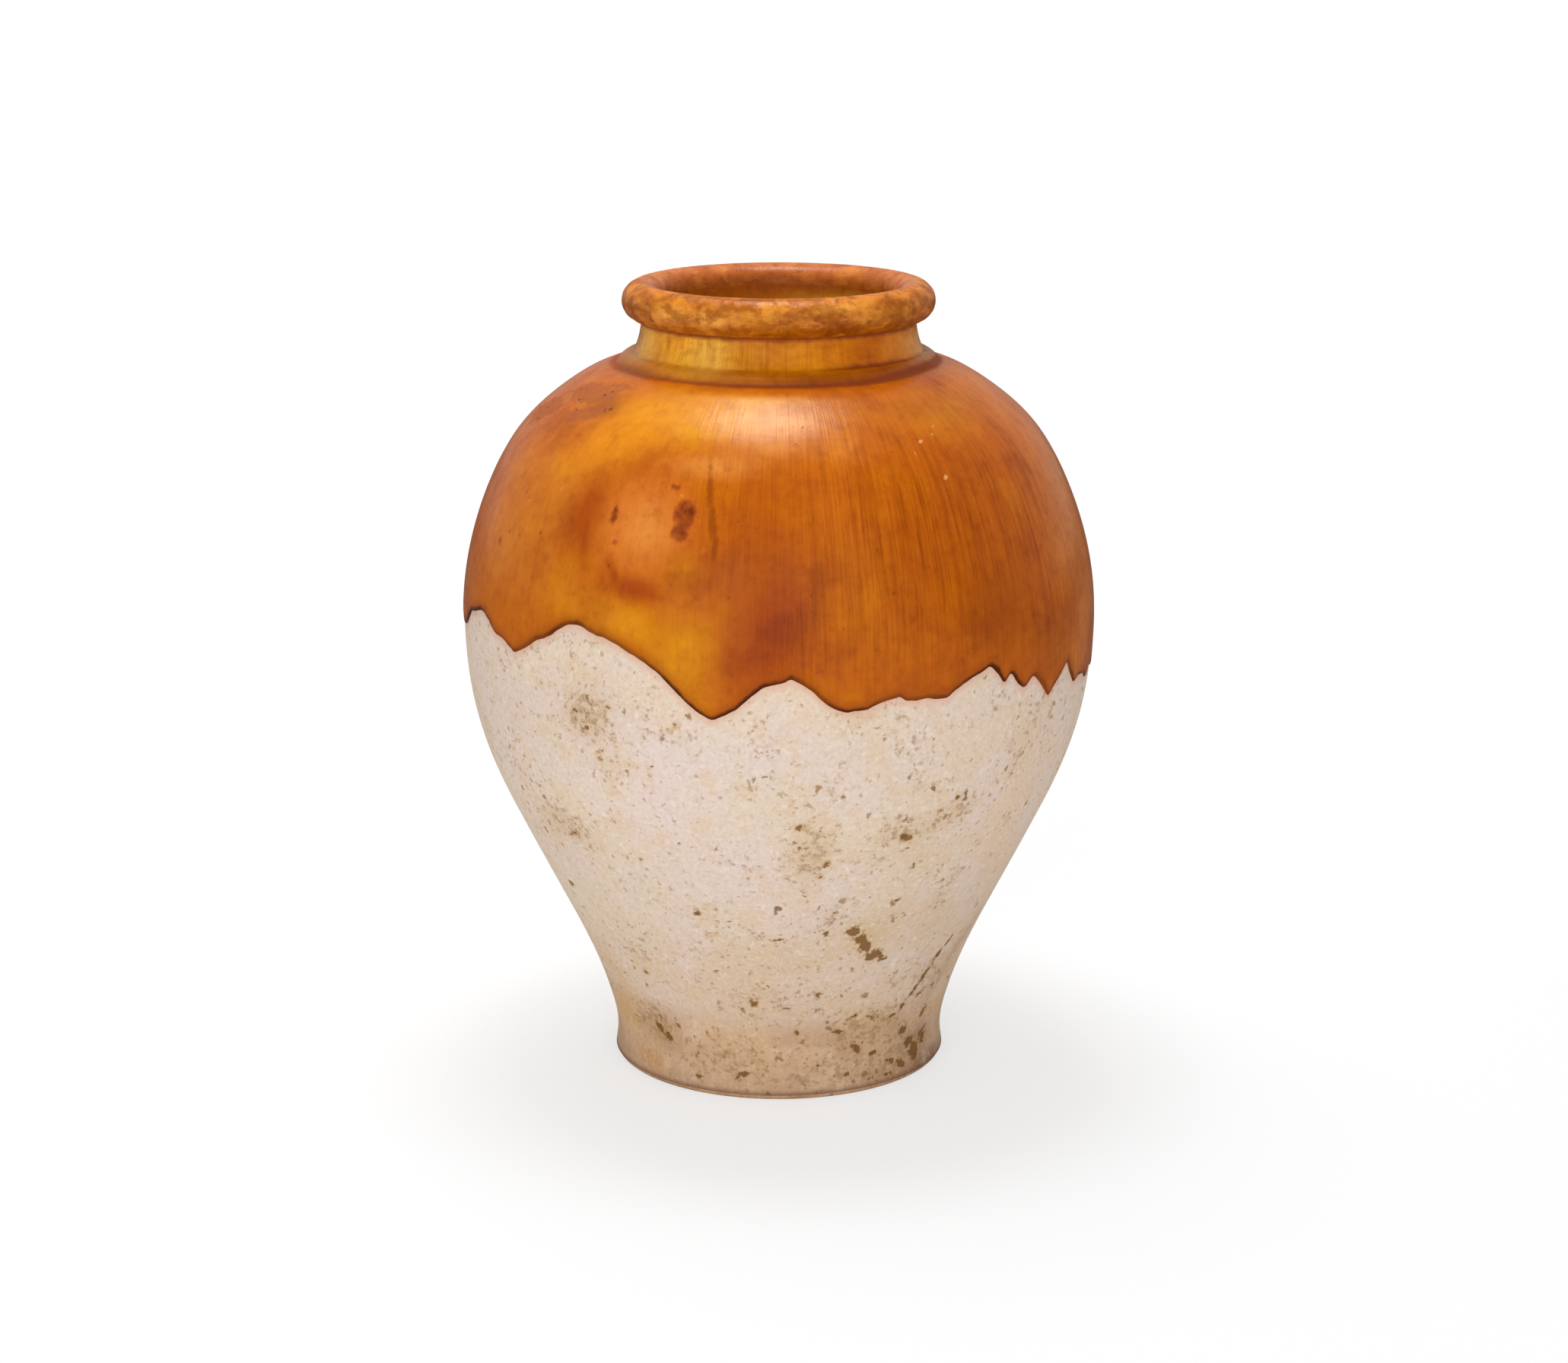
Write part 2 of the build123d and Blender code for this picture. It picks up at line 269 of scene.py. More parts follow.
def wheel():
    """Tree that turns a front line and a back line into one closed shell."""
    tree = bpy.data.node_groups.new("wheel", "GeometryNodeTree")
    for name, kind, value in (
        ("Lines", "Geometry", None), ("Columns", "Int", 540), ("Rows", "Int", 150),
        ("Back Rows", "Int", 12), ("Wobble", "Float", 0.3 * MM), ("Ripple", "Float", 0.1 * MM),
        ("Seed", "Float", 1.0), ("Coat", "Material", None),
    ):
        socket = tree.interface.new_socket(name, in_out="INPUT", socket_type="NodeSocket" + kind)
        if value is not None:
            socket.default_value = value
    tree.interface.new_socket("Shell", in_out="OUTPUT", socket_type="NodeSocketGeometry")
    inside = put(tree, "NodeGroupInput").outputs
    front = wheel_side(tree, inside, 0, inside["Rows"], inside["Wobble"], inside["Ripple"])
    back = wheel_side(tree, inside, 1, inside["Back Rows"], 0.0, 0.0)
    both = put(tree, "GeometryNodeJoinGeometry")
    tree.links.new(front, both.inputs[0])
    tree.links.new(put(tree, "GeometryNodeFlipFaces", {"Mesh": back}).outputs[0], both.inputs[0])
    real = put(tree, "GeometryNodeRealizeInstances", {"Geometry": both.outputs[0]})
    coated = put(tree, "GeometryNodeSetMaterial", {
        "Geometry": real.outputs[0], "Material": inside["Coat"]})
    put(tree, "NodeGroupOutput", {"Shell": coated.outputs[0]})
    return tree


wheel_tree = wheel()
print("wheel tree has", len(wheel_tree.nodes), "nodes")


# %% Throw a shell and close it
SHARP = math.radians(50)
SEAM_REACH = 0.03 * MM
SPECK = 1e-7


def into_scene(name, mesh):
    """New object with a mesh, at the origin, in the scene."""
    piece = bpy.data.objects.new(name, mesh)
    bpy.context.scene.collection.objects.link(piece)
    return piece


def close_up(mesh, reach=SEAM_REACH):
    """Merges the seam, the edges and the poles of a shell, and turns its faces outwards."""
    work = bmesh.new()
    work.from_mesh(mesh)
    bmesh.ops.remove_doubles(work, verts=work.verts, dist=reach)
    bmesh.ops.dissolve_degenerate(work, edges=work.edges, dist=SPECK)
    bmesh.ops.recalc_face_normals(work, faces=work.faces)
    open_edges = sum(1 for e in work.edges if not e.is_manifold)
    for face in work.faces:
        face.smooth = True
    for edge in work.edges:
        edge.smooth = edge.calc_face_angle(0) < SHARP
    work.to_mesh(mesh)
    work.free()
    return open_edges


def throw(name, front, back, coat, sizes):
    """Turns a front and a back line on the wheel, and returns the closed piece."""
    curve = bpy.data.curves.new(name + "_lines", "CURVE")
    curve.dimensions = "3D"
    for line in (front, back):
        spline = curve.splines.new("POLY")
        spline.points.add(len(line) - 1)
        for point, (radius, height) in zip(spline.points, line):
            point.co = (radius, 0, height, 1)
    lines = into_scene(name + "_lines", curve)
    turning = lines.modifiers.new("wheel", "NODES")
    turning.node_group = wheel_tree
    sockets = {s.name: s.identifier for s in wheel_tree.interface.items_tree if s.in_out == "INPUT"}
    for size, value in {**sizes, "Coat": coat}.items():
        turning[sockets[size]] = value
    evaluated = lines.evaluated_get(bpy.context.evaluated_depsgraph_get())
    mesh = bpy.data.meshes.new_from_object(evaluated)
    bpy.data.objects.remove(lines)
    piece = into_scene(name, mesh)
    open_edges = close_up(mesh)
    triangles = sum(len(p.vertices) - 2 for p in mesh.polygons)
    print(name, "has", triangles, "triangles and", open_edges, "open edges")
    return piece


# %% [markdown]
# ## Colours of the kiln
#
# Colours are written as they look, in the sRGB numbers of a paint chart, and turned into the linear
# values that light works with when they are used. The amber glaze is iron in a thin glass: honey where
# it lies thin and bright, burnt where it pools.

# %% Colours
def srgb(red, green, blue):
    """Linear colour from the sRGB numbers of a paint chart."""
    def linear(value):
        value /= 255
        return value / 12.92 if value <= 0.04045 else ((value + 0.055) / 1.055) ** 2.4
    return (linear(red), linear(green), linear(blue), 1.0)


HONEY = (230, 152, 14)
GOLD = (216, 128, 18)
ORANGE = (214, 118, 34)
AMBER = (196, 98, 10)
TAN_GLAZE = (212, 116, 46)
BURNT = (176, 80, 6)
CHERRY = (162, 62, 4)
STAIN = (104, 40, 16)
CREAM = (234, 214, 192)
ROSE = (230, 208, 196)
SAND = (224, 196, 164)
CLAY_TAN = (208, 174, 140)
UMBER = (120, 88, 52)
print("honey in linear light:", np.round(srgb(*HONEY), 3))

# %% [markdown]
# ## Brush strokes on the surface
#
# The big soft patches of colour sit where the kiln put them, so they are painted point by point, as a
# colour attribute. A stroke has a place (degrees round the jar and height in millimetres), half a
# width and half a height in millimetres, a colour and a strength. It may also have a hardness, for a
# crisper edge, and a tilt in degrees, which leans its tall axis to the left.
# A mark is a stroke without a colour. Some strokes are painted light rather than the jar's own
# colour: painted highlights, shade and reflections, each named where it stands.
#
# The fine grain, streaks and pits come later, from noise in the material.

# %% Where points lie on the jar
ROUND_RADIUS = 0.17


def run_of(line):
    """Distance walked along a line of (radius, height), at each of its points."""
    return np.concatenate([[0], np.cumsum(np.hypot(*np.diff(line, axis=0).T))])


def azimuth_of(points):
    """Azimuth in degrees of points in metres."""
    return np.degrees(np.arctan2(points[:, 0], -points[:, 1]))


def way_up(heights, line):
    """Distance walked up a line, in metres, to reach heights."""
    return np.interp(heights, line[:, 1], run_of(line))


def points_of(mesh):
    """Points of a mesh as rows of x, y, z."""
    flat = np.empty(len(mesh.vertices) * 3, dtype=np.float32)
    mesh.vertices.foreach_get("co", flat)
    return flat.reshape(-1, 3).astype(float)


def flow_of(around, up):
    """Places on an unrolled jar: a round of steady radius, and the way up along the wall."""
    turn = np.radians(around)
    return np.column_stack([np.sin(turn) * ROUND_RADIUS, -np.cos(turn) * ROUND_RADIUS, up])


def ramp(value, low, high):
    """A straight ramp from 0 to 1, as a value goes from low to high."""
    return np.clip((value - low) / (high - low), 0, 1)


def bell(distance, width):
    """A bell curve, 1 at no distance."""
    return np.exp(-(distance / width) ** 2)


# %% Paint strokes onto points
def cover(around, up, line, azimuth, height, half_width, half_height, hardness=2, tilt=0):
    """How strongly a stroke covers each place, from 0 to 1, with a soft edge."""
    radius = np.interp(height * MM, line[:, 1], line[:, 0])
    across = np.radians((around - azimuth + 180) % 360 - 180) * radius
    above = up - way_up(height * MM, line)
    turn = math.radians(tilt)
    wide = (across * math.cos(turn) + above * math.sin(turn)) / (half_width * MM)
    tall = (above * math.cos(turn) - across * math.sin(turn)) / (half_height * MM)
    return np.exp(-(wide**2 + tall**2) ** (hardness / 2))


def paint(around, up, line, base, strokes):
    """Colours of places: a base colour with strokes laid over it, one after the other."""
    colours = np.tile(srgb(*base), (len(around), 1))
    for azimuth, height, half_width, half_height, colour, strength, *edge in strokes:
        covered = cover(around, up, line, azimuth, height, half_width, half_height, *edge)
        colours += (np.array(srgb(*colour)) - colours) * (strength * covered)[:, None]
    return colours


def dab(around, up, line, marks):
    """One value per place: the strongest of several marks."""
    value = np.zeros(len(around))
    for azimuth, height, half_width, half_height, strength, *edge in marks:
        covered = cover(around, up, line, azimuth, height, half_width, half_height, *edge)
        value = np.maximum(value, strength * covered)
    return value


def store(mesh, name, values):
    """Keeps one number, vector or colour per point of a mesh, for its material to read."""
    kinds = {1: ("FLOAT", "value"), 3: ("FLOAT_VECTOR", "vector"), 4: ("FLOAT_COLOR", "color")}
    kind, field = kinds[values.size // len(values)]
    kept = mesh.attributes.new(name, kind, "POINT")
    kept.data.foreach_set(field, values.astype(np.float32).ravel())


# %% [markdown]
# ## Effects that several finishes share
#
# Each is a shader node group that puts out only a mask or a value, so every material can use it with
# its own sizes. Pits are little craters strewn unevenly. Streaks run up and down the wall, where the
# glaze slid as it melted. Both read places in metres.

# %% Shared shader groups
def new_group(name, inputs, output):
    """Shader group with number or vector inputs and one number for its output."""
    group = bpy.data.node_groups.new(name, "ShaderNodeTree")
    for label, value in inputs.items():
        kind = "NodeSocketVector" if value is None else "NodeSocketFloat"
        socket = group.interface.new_socket(label, in_out="INPUT", socket_type=kind)
        if value is not None:
            socket.default_value = value
    group.interface.new_socket(output, in_out="OUTPUT", socket_type="NodeSocketFloat")
    return group, put(group, "NodeGroupInput").outputs


def pits_group():
    """Round spots of uneven size. Cells holds how many fit in a metre, Amount the share that exist."""
    group, inside = new_group("pits", {"Place": None, "Cells": 150.0, "Size": 0.4, "Amount": 0.3}, "Mask")
    ragged = put(group, "ShaderNodeTexNoise", {
        "Vector": inside["Place"], "Scale": times(group, inside["Cells"], 2.2), "Detail": 2,
    }).outputs["Color"]
    push = vector_calc(group, "SCALE", vector_calc(group, "SUBTRACT", ragged, (0.5, 0.5, 0.5)), 0.9)
    scaled = vector_calc(group, "SCALE", inside["Place"], inside["Cells"])
    cells = put(group, "ShaderNodeTexVoronoi", {
        "Vector": vector_calc(group, "ADD", scaled, push), "Scale": 1}, feature="F1").outputs
    chance = put(group, "ShaderNodeSeparateColor", {"Color": cells["Color"]}).outputs
    radius = times(group, inside["Size"], calc(group, "MULTIPLY_ADD", chance[1], 0.75, 0.25))
    spot = ease(group, cells["Distance"], radius, times(group, radius, 0.5))
    here = calc(group, "LESS_THAN", chance[0], inside["Amount"])
    put(group, "NodeGroupOutput", {"Mask": times(group, spot, here)})
    return group


def streaks_group():
    """Streaks along the wall. Width and Length are in metres, and the value runs from 0 to 1."""
    group, inside = new_group("streaks", {"Flow": None, "Width": 3.0 * MM, "Length": 50.0 * MM}, "Value")
    fine = calc(group, "DIVIDE", 1, inside["Width"])
    slow = calc(group, "DIVIDE", 1, inside["Length"])
    scale = put(group, "ShaderNodeCombineXYZ", {"X": fine, "Y": fine, "Z": slow}).outputs[0]
    swells = put(group, "ShaderNodeTexNoise", {
        "Vector": vector_calc(group, "MULTIPLY", inside["Flow"], scale), "Scale": 1, "Detail": 3,
        "Roughness": 0.62}).outputs[0]
    put(group, "NodeGroupOutput", {"Value": ease(group, swells, 0.3, 0.7)})
    return group


pits = pits_group()
streaks = streaks_group()
print("shared groups:", pits.name, "and", streaks.name)


# %% Helpers for materials
def new_material(name):
    """Material with nodes, its tree, its Principled shader and its place on the object in metres."""
    material = bpy.data.materials.new(name)
    material.use_nodes = True
    tree = material.node_tree
    place = put(tree, "ShaderNodeTexCoord").outputs["Object"]
    return material, tree, tree.nodes["Principled BSDF"], place


def dress(tree, shader, colour, roughness, specular, relief, depth):
    """Joins a colour, a roughness and small relief of a depth in metres to a shader."""
    tree.links.new(colour, shader.inputs["Base Color"])
    if isinstance(roughness, bpy.types.NodeSocket):
        tree.links.new(roughness, shader.inputs["Roughness"])
    else:
        shader.inputs["Roughness"].default_value = roughness
    shader.inputs["Specular IOR Level"].default_value = specular
    bumped = put(tree, "ShaderNodeBump", {"Height": relief, "Distance": depth, "Strength": 0.8})
    tree.links.new(bumped.outputs[0], shader.inputs["Normal"])


def read(tree, name, output="Fac"):
    """Value of a named attribute of the mesh."""
    return put(tree, "ShaderNodeAttribute", attribute_name=name).outputs[output]


def use(tree, group, inputs):
    """Output of a shared group with its own values."""
    return put(tree, "ShaderNodeGroup", inputs, node_tree=group).outputs[0]


def noise(tree, place, cells, detail=3.0, roughness=0.55):
    """Soft noise around 0.5. Cells holds how many swells fit in a metre."""
    return put(tree, "ShaderNodeTexNoise", {
        "Vector": place, "Scale": cells, "Detail": detail, "Roughness": roughness}).outputs[0]


def mix(tree, mask, first, second, how="MIX"):
    """Mix of two colours."""
    node = put(tree, "ShaderNodeMix", {0: mask, 6: first, 7: second}, data_type="RGBA", blend_type=how)
    return node.outputs[2]


def tint(tree, colour, mask, chart_colour):
    """A chart colour laid over another colour, where a mask says."""
    return mix(tree, mask, colour, srgb(*chart_colour))


def filter_by(tree, colour, mask, factors):
    """A colour multiplied by three factors, where a mask says."""
    return mix(tree, mask, colour, (*factors, 1.0), "MULTIPLY")


def torn(tree, value, wobble, amount):
    """A value whose edges are torn by a noise, so that a soft stroke ends raggedly."""
    return calc(tree, "MULTIPLY_ADD", minus(tree, wobble, 0.5), amount, value)


# %% [markdown]
# ## The pale wash
#
# Below the glaze the jar wears a thin lime wash over coarse clay: cream, a little rosy in places, and
# sandy towards the foot where it is rubbed and stained. It is full of pits, in clusters, where grit
# burst or fell out, and they are brown inside because the clay shows. The pits come in three sizes.
# Each size has how many cells fit in a metre, how large a pit is in its cell, the share of cells that
# a crowded place adds, and the share that has a pit anywhere.
#
# In the materials, a mask is a noise or a painted value, eased from 0 to 1. The colours are then laid
# over each other in order, each one where its mask says.

# %% Where the wash is stained and pitted
WASH_STROKES = [
    (-40, 262, 60, 22, CREAM, 0.6), (-34, 230, 22, 20, (212, 182, 148), 0.75, 2.4),
    (-58, 200, 24, 40, ROSE, 0.6), (-10, 215, 60, 18, (224, 208, 200), 0.7),
    (-22, 190, 18, 34, (230, 208, 206), 0.7), (-6, 150, 24, 26, (228, 208, 205), 0.7),
    (-36, 190, 22, 26, (232, 212, 188), 0.6), (20, 205, 40, 22, (224, 204, 188), 0.6),
    (45, 210, 50, 40, (226, 202, 178), 0.8), (58, 150, 44, 60, (228, 199, 171), 0.8),
    (-52, 150, 28, 24, (214, 188, 156), 0.7), (7, 155, 16, 28, (216, 190, 156), 0.6),
    (30, 158, 26, 20, (216, 190, 158), 0.6), (36, 110, 40, 24, (214, 186, 152), 0.8),
    (20, 98, 14, 14, (212, 180, 132), 0.8), (4, 92, 60, 16, (218, 188, 154), 0.5),
    (-62, 42, 16, 20, (214, 170, 108), 0.9), (-44, 34, 15, 13, (198, 144, 78), 0.9, 2.4),
    (-52, 66, 24, 12, (220, 186, 140), 0.7, 2, 20), (-50, 12, 20, 7, (204, 152, 96), 0.8),
    (0, 30, 30, 12, (216, 176, 134), 0.6), (28, 36, 16, 12, (206, 166, 120), 0.8),
    (54, 19, 15, 12, (144, 96, 54), 0.95, 2.4), (58, 6, 30, 6, (132, 90, 60), 0.9, 2.4),
    (42, 36, 9, 8, (176, 132, 84), 0.7), (30, 8, 24, 5, (176, 130, 90), 0.7),
    (62, 72, 9, 28, (196, 158, 120), 0.8, 2, -25), (-10, 10, 30, 6, (206, 160, 118), 0.6),
    (120, 90, 60, 60, ROSE, 0.6), (170, 60, 50, 40, (214, 182, 138), 0.6),
    (200, 200, 60, 40, (218, 194, 168), 0.6), (230, 110, 50, 50, (218, 190, 158), 0.5),
    (150, 22, 30, 16, (190, 144, 92), 0.6), (262, 24, 24, 14, (194, 150, 100), 0.6),
]
PIT_CLUSTERS = [
    (-35, 232, 17, 17, 1, 3), (-31, 205, 14, 12, 0.6), (-47, 162, 22, 11, 0.9, 3, -20),
    (6, 160, 15, 26, 0.8, 3), (24, 170, 16, 12, 0.8, 3), (34, 176, 24, 11, 0.8, 3, 18),
    (52, 214, 30, 24, 0.4), (58, 240, 20, 12, 0.5), (14, 243, 24, 8, 0.5), (-17, 120, 24, 12, 0.4),
    (12, 112, 18, 14, 0.6), (0, 60, 40, 18, 0.55), (30, 38, 30, 18, 0.9, 3, 10),
    (-46, 36, 20, 16, 0.9, 3), (52, 60, 16, 30, 0.8, 3, 25), (10, 13, 60, 9, 1), (40, 16, 34, 14, 1, 3),
    (-22, 22, 34, 14, 0.9), (-60, 190, 16, 30, 0.4), (48, 24, 16, 14, 1, 3), (110, 190, 40, 24, 0.8),
    (140, 110, 34, 28, 0.9), (175, 170, 26, 34, 0.7), (205, 90, 40, 24, 0.9), (240, 180, 34, 24, 0.8),
    (270, 110, 30, 34, 0.8), (100, 40, 30, 20, 0.8), (190, 30, 40, 16, 0.9),
]
CHIPS = [
    (-17.5, 233, 3.2, 1.8, 0.85, 2, 10), (-14, 219, 5, 1.2, 0.6, 2, 8), (4, 177, 2.8, 2.6, 1),
    (9.6, 153, 2.6, 2.4, 1), (4, 164, 2, 1.8, 0.75), (8.5, 145, 2, 1.8, 0.75), (5.5, 136, 2.4, 1.6, 0.7),
    (25.4, 166, 4, 3.6, 1.1), (29, 146, 2.2, 3.2, 0.85, 2, -20), (28, 125, 3, 1.4, 0.75, 2, 10),
    (35, 186, 2.2, 2.2, 0.85), (32, 180, 4.5, 1.2, 0.65, 2, 15), (-19, 119, 3, 2.6, 0.85),
    (0, 104, 8, 1.4, 0.75, 2, 8), (11.5, 107, 2.8, 2.2, 0.85), (13, 120, 3.6, 1.4, 0.75, 2, -20),
    (18.6, 107, 4, 5, 1.15, 2, 10), (20.8, 101, 3.6, 5, 1.15, 2, 30), (22.5, 96, 4, 5.4, 1.15, 2, 25),
    (25.8, 89, 6, 4.2, 1.15, 2, 20), (29, 86, 3.6, 3, 0.95), (-42, 71, 2.4, 2.4, 0.9),
    (-8, 80, 2.2, 1.8, 0.85), (-9.6, 65, 3.4, 1.3, 0.65), (-11.5, 61, 1.3, 3.2, 0.6),
    (-7.5, 60.4, 2.8, 2.4, 1), (6, 41, 2.8, 2.2, 0.85), (24.4, 49, 2.6, 2.6, 0.9),
    (19, 40.3, 4.8, 1.8, 1.05, 2, -8), (27, 27, 5.6, 2, 1.1, 2, -40), (54, 84, 1.6, 6, 0.85, 2, -25),
    (51.5, 77, 2.2, 6, 1, 2, -25), (49, 66, 2.2, 7, 1, 2, -25), (46, 57, 2, 6, 0.9, 2, -25),
    (43, 48.5, 2.6, 3, 0.85, 2, -30), (54.6, 15.7, 6, 5, 1.15), (47, 11, 5, 2.4, 1.1, 2, -20),
    (41, 7, 4.4, 1.7, 0.95), (33, 7.2, 4.6, 1.5, 0.9), (1.9, 57.7, 2.8, 2.2, 0.9),
    (11.6, 65.9, 2.6, 2.4, 0.9), (22.4, 45.4, 2.8, 1.7, 0.9), (50, 53, 5, 1.8, 0.85, 2, 30),
    (39.6, 43.7, 4.2, 1.5, 0.9, 2, 20), (46.6, 31, 4.4, 3.2, 1), (54.8, 12, 5, 3, 1),
    (60, 20, 5, 3.6, 0.95), (51, 22, 5.4, 3.6, 1.05, 2, 20), (-43.5, 34.5, 2.8, 3.8, 1.1, 2, 35),
    (-40, 30, 2.6, 4.6, 1.1, 2, 45), (-34.5, 39, 2.6, 2.6, 0.8), (-12.4, 14.2, 5.6, 1.9, 1.05, 2, 15),
    (14, 19, 3.2, 1.6, 0.75), (34, 22, 4, 2, 0.9, 2, 20), (42, 14, 5, 2.4, 0.95), (24, 12, 4, 1.6, 0.8),
    (56, 38, 3, 4.4, 0.95, 2, -20), (-28, 10, 4.4, 1.6, 0.8), (-8.6, 26, 2.6, 1.6, 0.7),
    (-38, 242, 3, 1.8, 0.75), (-37.5, 233, 2, 4, 0.8, 2, 10), (-35.5, 225, 3, 2.4, 0.85),
    (-30.5, 238, 2.6, 2, 0.75), (-29.5, 222, 2, 3, 0.7), (-33, 213, 3.2, 2, 0.75, 2, 20),
    (-54, 159, 2.8, 2.2, 0.85), (-46, 158, 2.6, 2.4, 0.9), (-38, 168, 2.2, 2.2, 0.8),
    (130, 150, 5, 3, 0.95, 2, 30), (165, 84, 3, 6, 0.9, 2, 20), (212, 140, 4.4, 2.6, 0.9, 2, -20),
    (250, 70, 3, 5, 0.95), (225, 210, 3, 2.4, 0.85), (105, 60, 5.4, 2, 0.9, 2, 15),
    (185, 190, 3.4, 2, 0.85), (150, 40, 3.6, 3, 0.9), (275, 180, 2.6, 4, 0.8, 2, 10),
]


# %% Wash material
WASH_PITS = ((330.0, 0.52, 0.55, 0.06), (150.0, 0.36, 0.46, 0.05), (62.0, 0.22, 0.26, 0.06))


def wash_material():
    """Matt lime wash over coarse clay, with brown pits and a painted contact shadow at the foot."""
    material, tree, shader, place = new_material("lime_wash")
    level = put(tree, "ShaderNodeSeparateXYZ", {"Vector": place}).outputs[2]
    above_foot = ease(tree, level, 0.02, 0.075, 0.25, 1.0)
    cloud = noise(tree, place, 24, 4)
    rosy = times(tree, ease(tree, cloud, 0.44, 0.62, 0, 0.55), above_foot)
    sandy = ease(tree, noise(tree, place, 64, 4), 0.5, 0.68, 0, 0.6)
    mottle = noise(tree, place, 170, 4, 0.65)
    milky = times(tree, ease(tree, mottle, 0.42, 0.28, 0, 0.6), above_foot)
    grain = noise(tree, place, 420, 3, 0.7)
    pale_grain = ease(tree, grain, 0.5, 0.75, 0.0, 0.4)
    tan_grain = ease(tree, grain, 0.5, 0.28, 0.0, 0.45)
    clusters = read(tree, "pitted")
    patchy = ease(tree, noise(tree, place, 34, 3), 0.45, 0.68)
    crowd = calc(tree, "MAXIMUM", clusters, times(tree, patchy, 0.45))
    wear = calc(tree, "MULTIPLY_ADD", crowd, 0.14, noise(tree, place, 230, 5, 0.72))
    smudge = noise(tree, vector_calc(tree, "MULTIPLY", place, (1, 1, 1.5)), 110, 4, 0.65)
    smudged = times(tree, ease(tree, smudge, 0.54, 0.68), ease(tree, crowd, 0, 0.8, 0.12, 0.62))
    near_foot = ease(tree, above_foot, 0.9, 0.3, 0, 0.4)
    foot_blotch = times(tree, ease(tree, cloud, 0.5, 0.62), near_foot)
    small, middle, large = (
        use(tree, pits, {"Place": place, "Cells": cells, "Size": size,
                         "Amount": calc(tree, "MULTIPLY_ADD", crowd, more, fewest)})
        for cells, size, more, fewest in WASH_PITS
    )
    ragged = torn(tree, read(tree, "chipped"), noise(tree, place, 380, 3), 1.5)
    chips = ease(tree, ragged, 0.5, 0.72)
    halo = ease(tree, ragged, 0.15, 0.6, 0, 0.55)
    colour = read(tree, "paint", "Color")
    for mask, chart_colour in (
        (rosy, (226, 206, 196)), (sandy, SAND), (milky, (240, 226, 210)),
        (pale_grain, (246, 232, 218)), (tan_grain, CLAY_TAN), (smudged, (188, 152, 112)),
        (ease(tree, wear, 0.58, 0.7, 0, 0.6), (202, 164, 124)), (foot_blotch, (180, 134, 90)),
        (ease(tree, wear, 0.68, 0.78, 0, 0.75), (160, 116, 72)),
        (ease(tree, clusters, 0.1, 1.0, 0, 0.3), (206, 172, 132)), (halo, (200, 154, 96)),
        (times(tree, small, 0.5), (172, 130, 86)), (times(tree, middle, 0.75), (156, 112, 66)),
        (times(tree, large, 0.85), (136, 94, 50)), (times(tree, chips, 0.85), (124, 84, 38)),
        # A pinkish band just below the glaze's edge: partly iron flash from the glaze, partly a painted
        # soft shadow under the drips.
        (ease(tree, read(tree, "below_glaze"), 5.5, 0.5, 0.0, 0.55), (226, 172, 144)),
        # The lowest few millimetres turn dark brown: a painted contact shadow where the foot meets the
        # table.
        (ease(tree, level, 0.0065, 0.0022, 0, 0.85), (116, 78, 58)),
    ):
        colour = tint(tree, colour, mask, chart_colour)
    relief = plus(tree, times(tree, grain, 0.35), times(tree, noise(tree, place, 90, 3), 0.9))
    relief = minus(tree, relief, ease(tree, wear, 0.62, 0.76, 0, 0.8))
    for hole, depth in ((small, 0.6), (middle, 1.0), (large, 1.6), (chips, 1.6)):
        relief = minus(tree, relief, times(tree, hole, depth))
    roughness = calc(tree, "MULTIPLY_ADD", grain, -0.15, 0.95)
    dress(tree, shader, colour, roughness, 0.25, relief, 0.45 * MM)
    return material


# %% [markdown]
# ## The amber glaze
#
# The glaze ran before it froze, so its lower edge hangs in drips of all sizes. The edge is drawn as a
# line of tips and notches round the jar. A coat is then raised above that line, row by row: close rows
# at the edge, where it swells into a bead as surface tension rounds it, then even rows up to the rim.
# The coat never stands out past the outline that came with the frame: it only sinks under it, a
# little unevenly.
#
# That outline is cut where the plain coat hangs lowest. It starts at its lowest point and ends at its
# highest, which are the farthest points in two directions of (radius, height).

# %% The ragged edge
EDGE = [
    (-72, 268), (-66, 272), (-63, 269), (-60, 264), (-56, 261), (-53, 257), (-50, 261), (-47, 266),
    (-43, 272), (-41, 276), (-39, 279), (-37, 280), (-31, 275), (-28, 272), (-25, 268), (-22, 263),
    (-20, 258), (-17, 250), (-15, 244), (-13, 239), (-11, 237), (-9, 240), (-7, 244), (-5, 249),
    (-3, 254), (-1, 257), (1, 258), (2, 260), (4, 257), (6, 252), (8, 246), (10, 243), (12, 241),
    (15, 242), (18, 246), (21, 248), (22, 245), (24, 244), (26, 246), (28, 244), (30, 244), (32, 248),
    (34, 251), (36, 254), (39, 257), (41, 252), (42.5, 245.5), (44.2, 252), (46, 244), (48, 240.5),
    (50.5, 246), (53, 240), (55.6, 231), (58, 237), (60, 241), (62.3, 247), (64, 239), (66.4, 231),
    (69, 234), (72, 233), (75, 228), (80, 236), (85, 227), (89, 236), (92, 240), (96, 239),
    (99, 246), (102, 241), (105, 236), (108, 238), (112, 229), (115, 235), (118, 238), (122, 247),
    (125, 252), (128, 247), (131, 248), (135, 241), (138, 236), (143, 244), (147, 252), (150, 258),
    (154, 262), (157, 262), (161, 255), (164, 250), (167, 249), (170, 243), (173, 250), (176, 255),
    (180, 263), (183, 268), (187, 265), (190, 264), (193, 257), (196, 252), (199, 247), (201, 247),
    (204, 255), (208, 259), (211, 266), (215, 272), (219, 273), (222, 276), (226, 269), (229, 266),
    (232, 258), (235, 255), (238, 253), (240, 250), (243, 258), (246, 262), (249, 270), (253, 274),
    (257, 277), (260, 279), (264, 274), (267, 270), (270, 266), (274, 260), (277, 258), (280, 255),
    (284, 259), (288, 268),
]
EDGE_START = -72
EDGE_STEP = 0.1
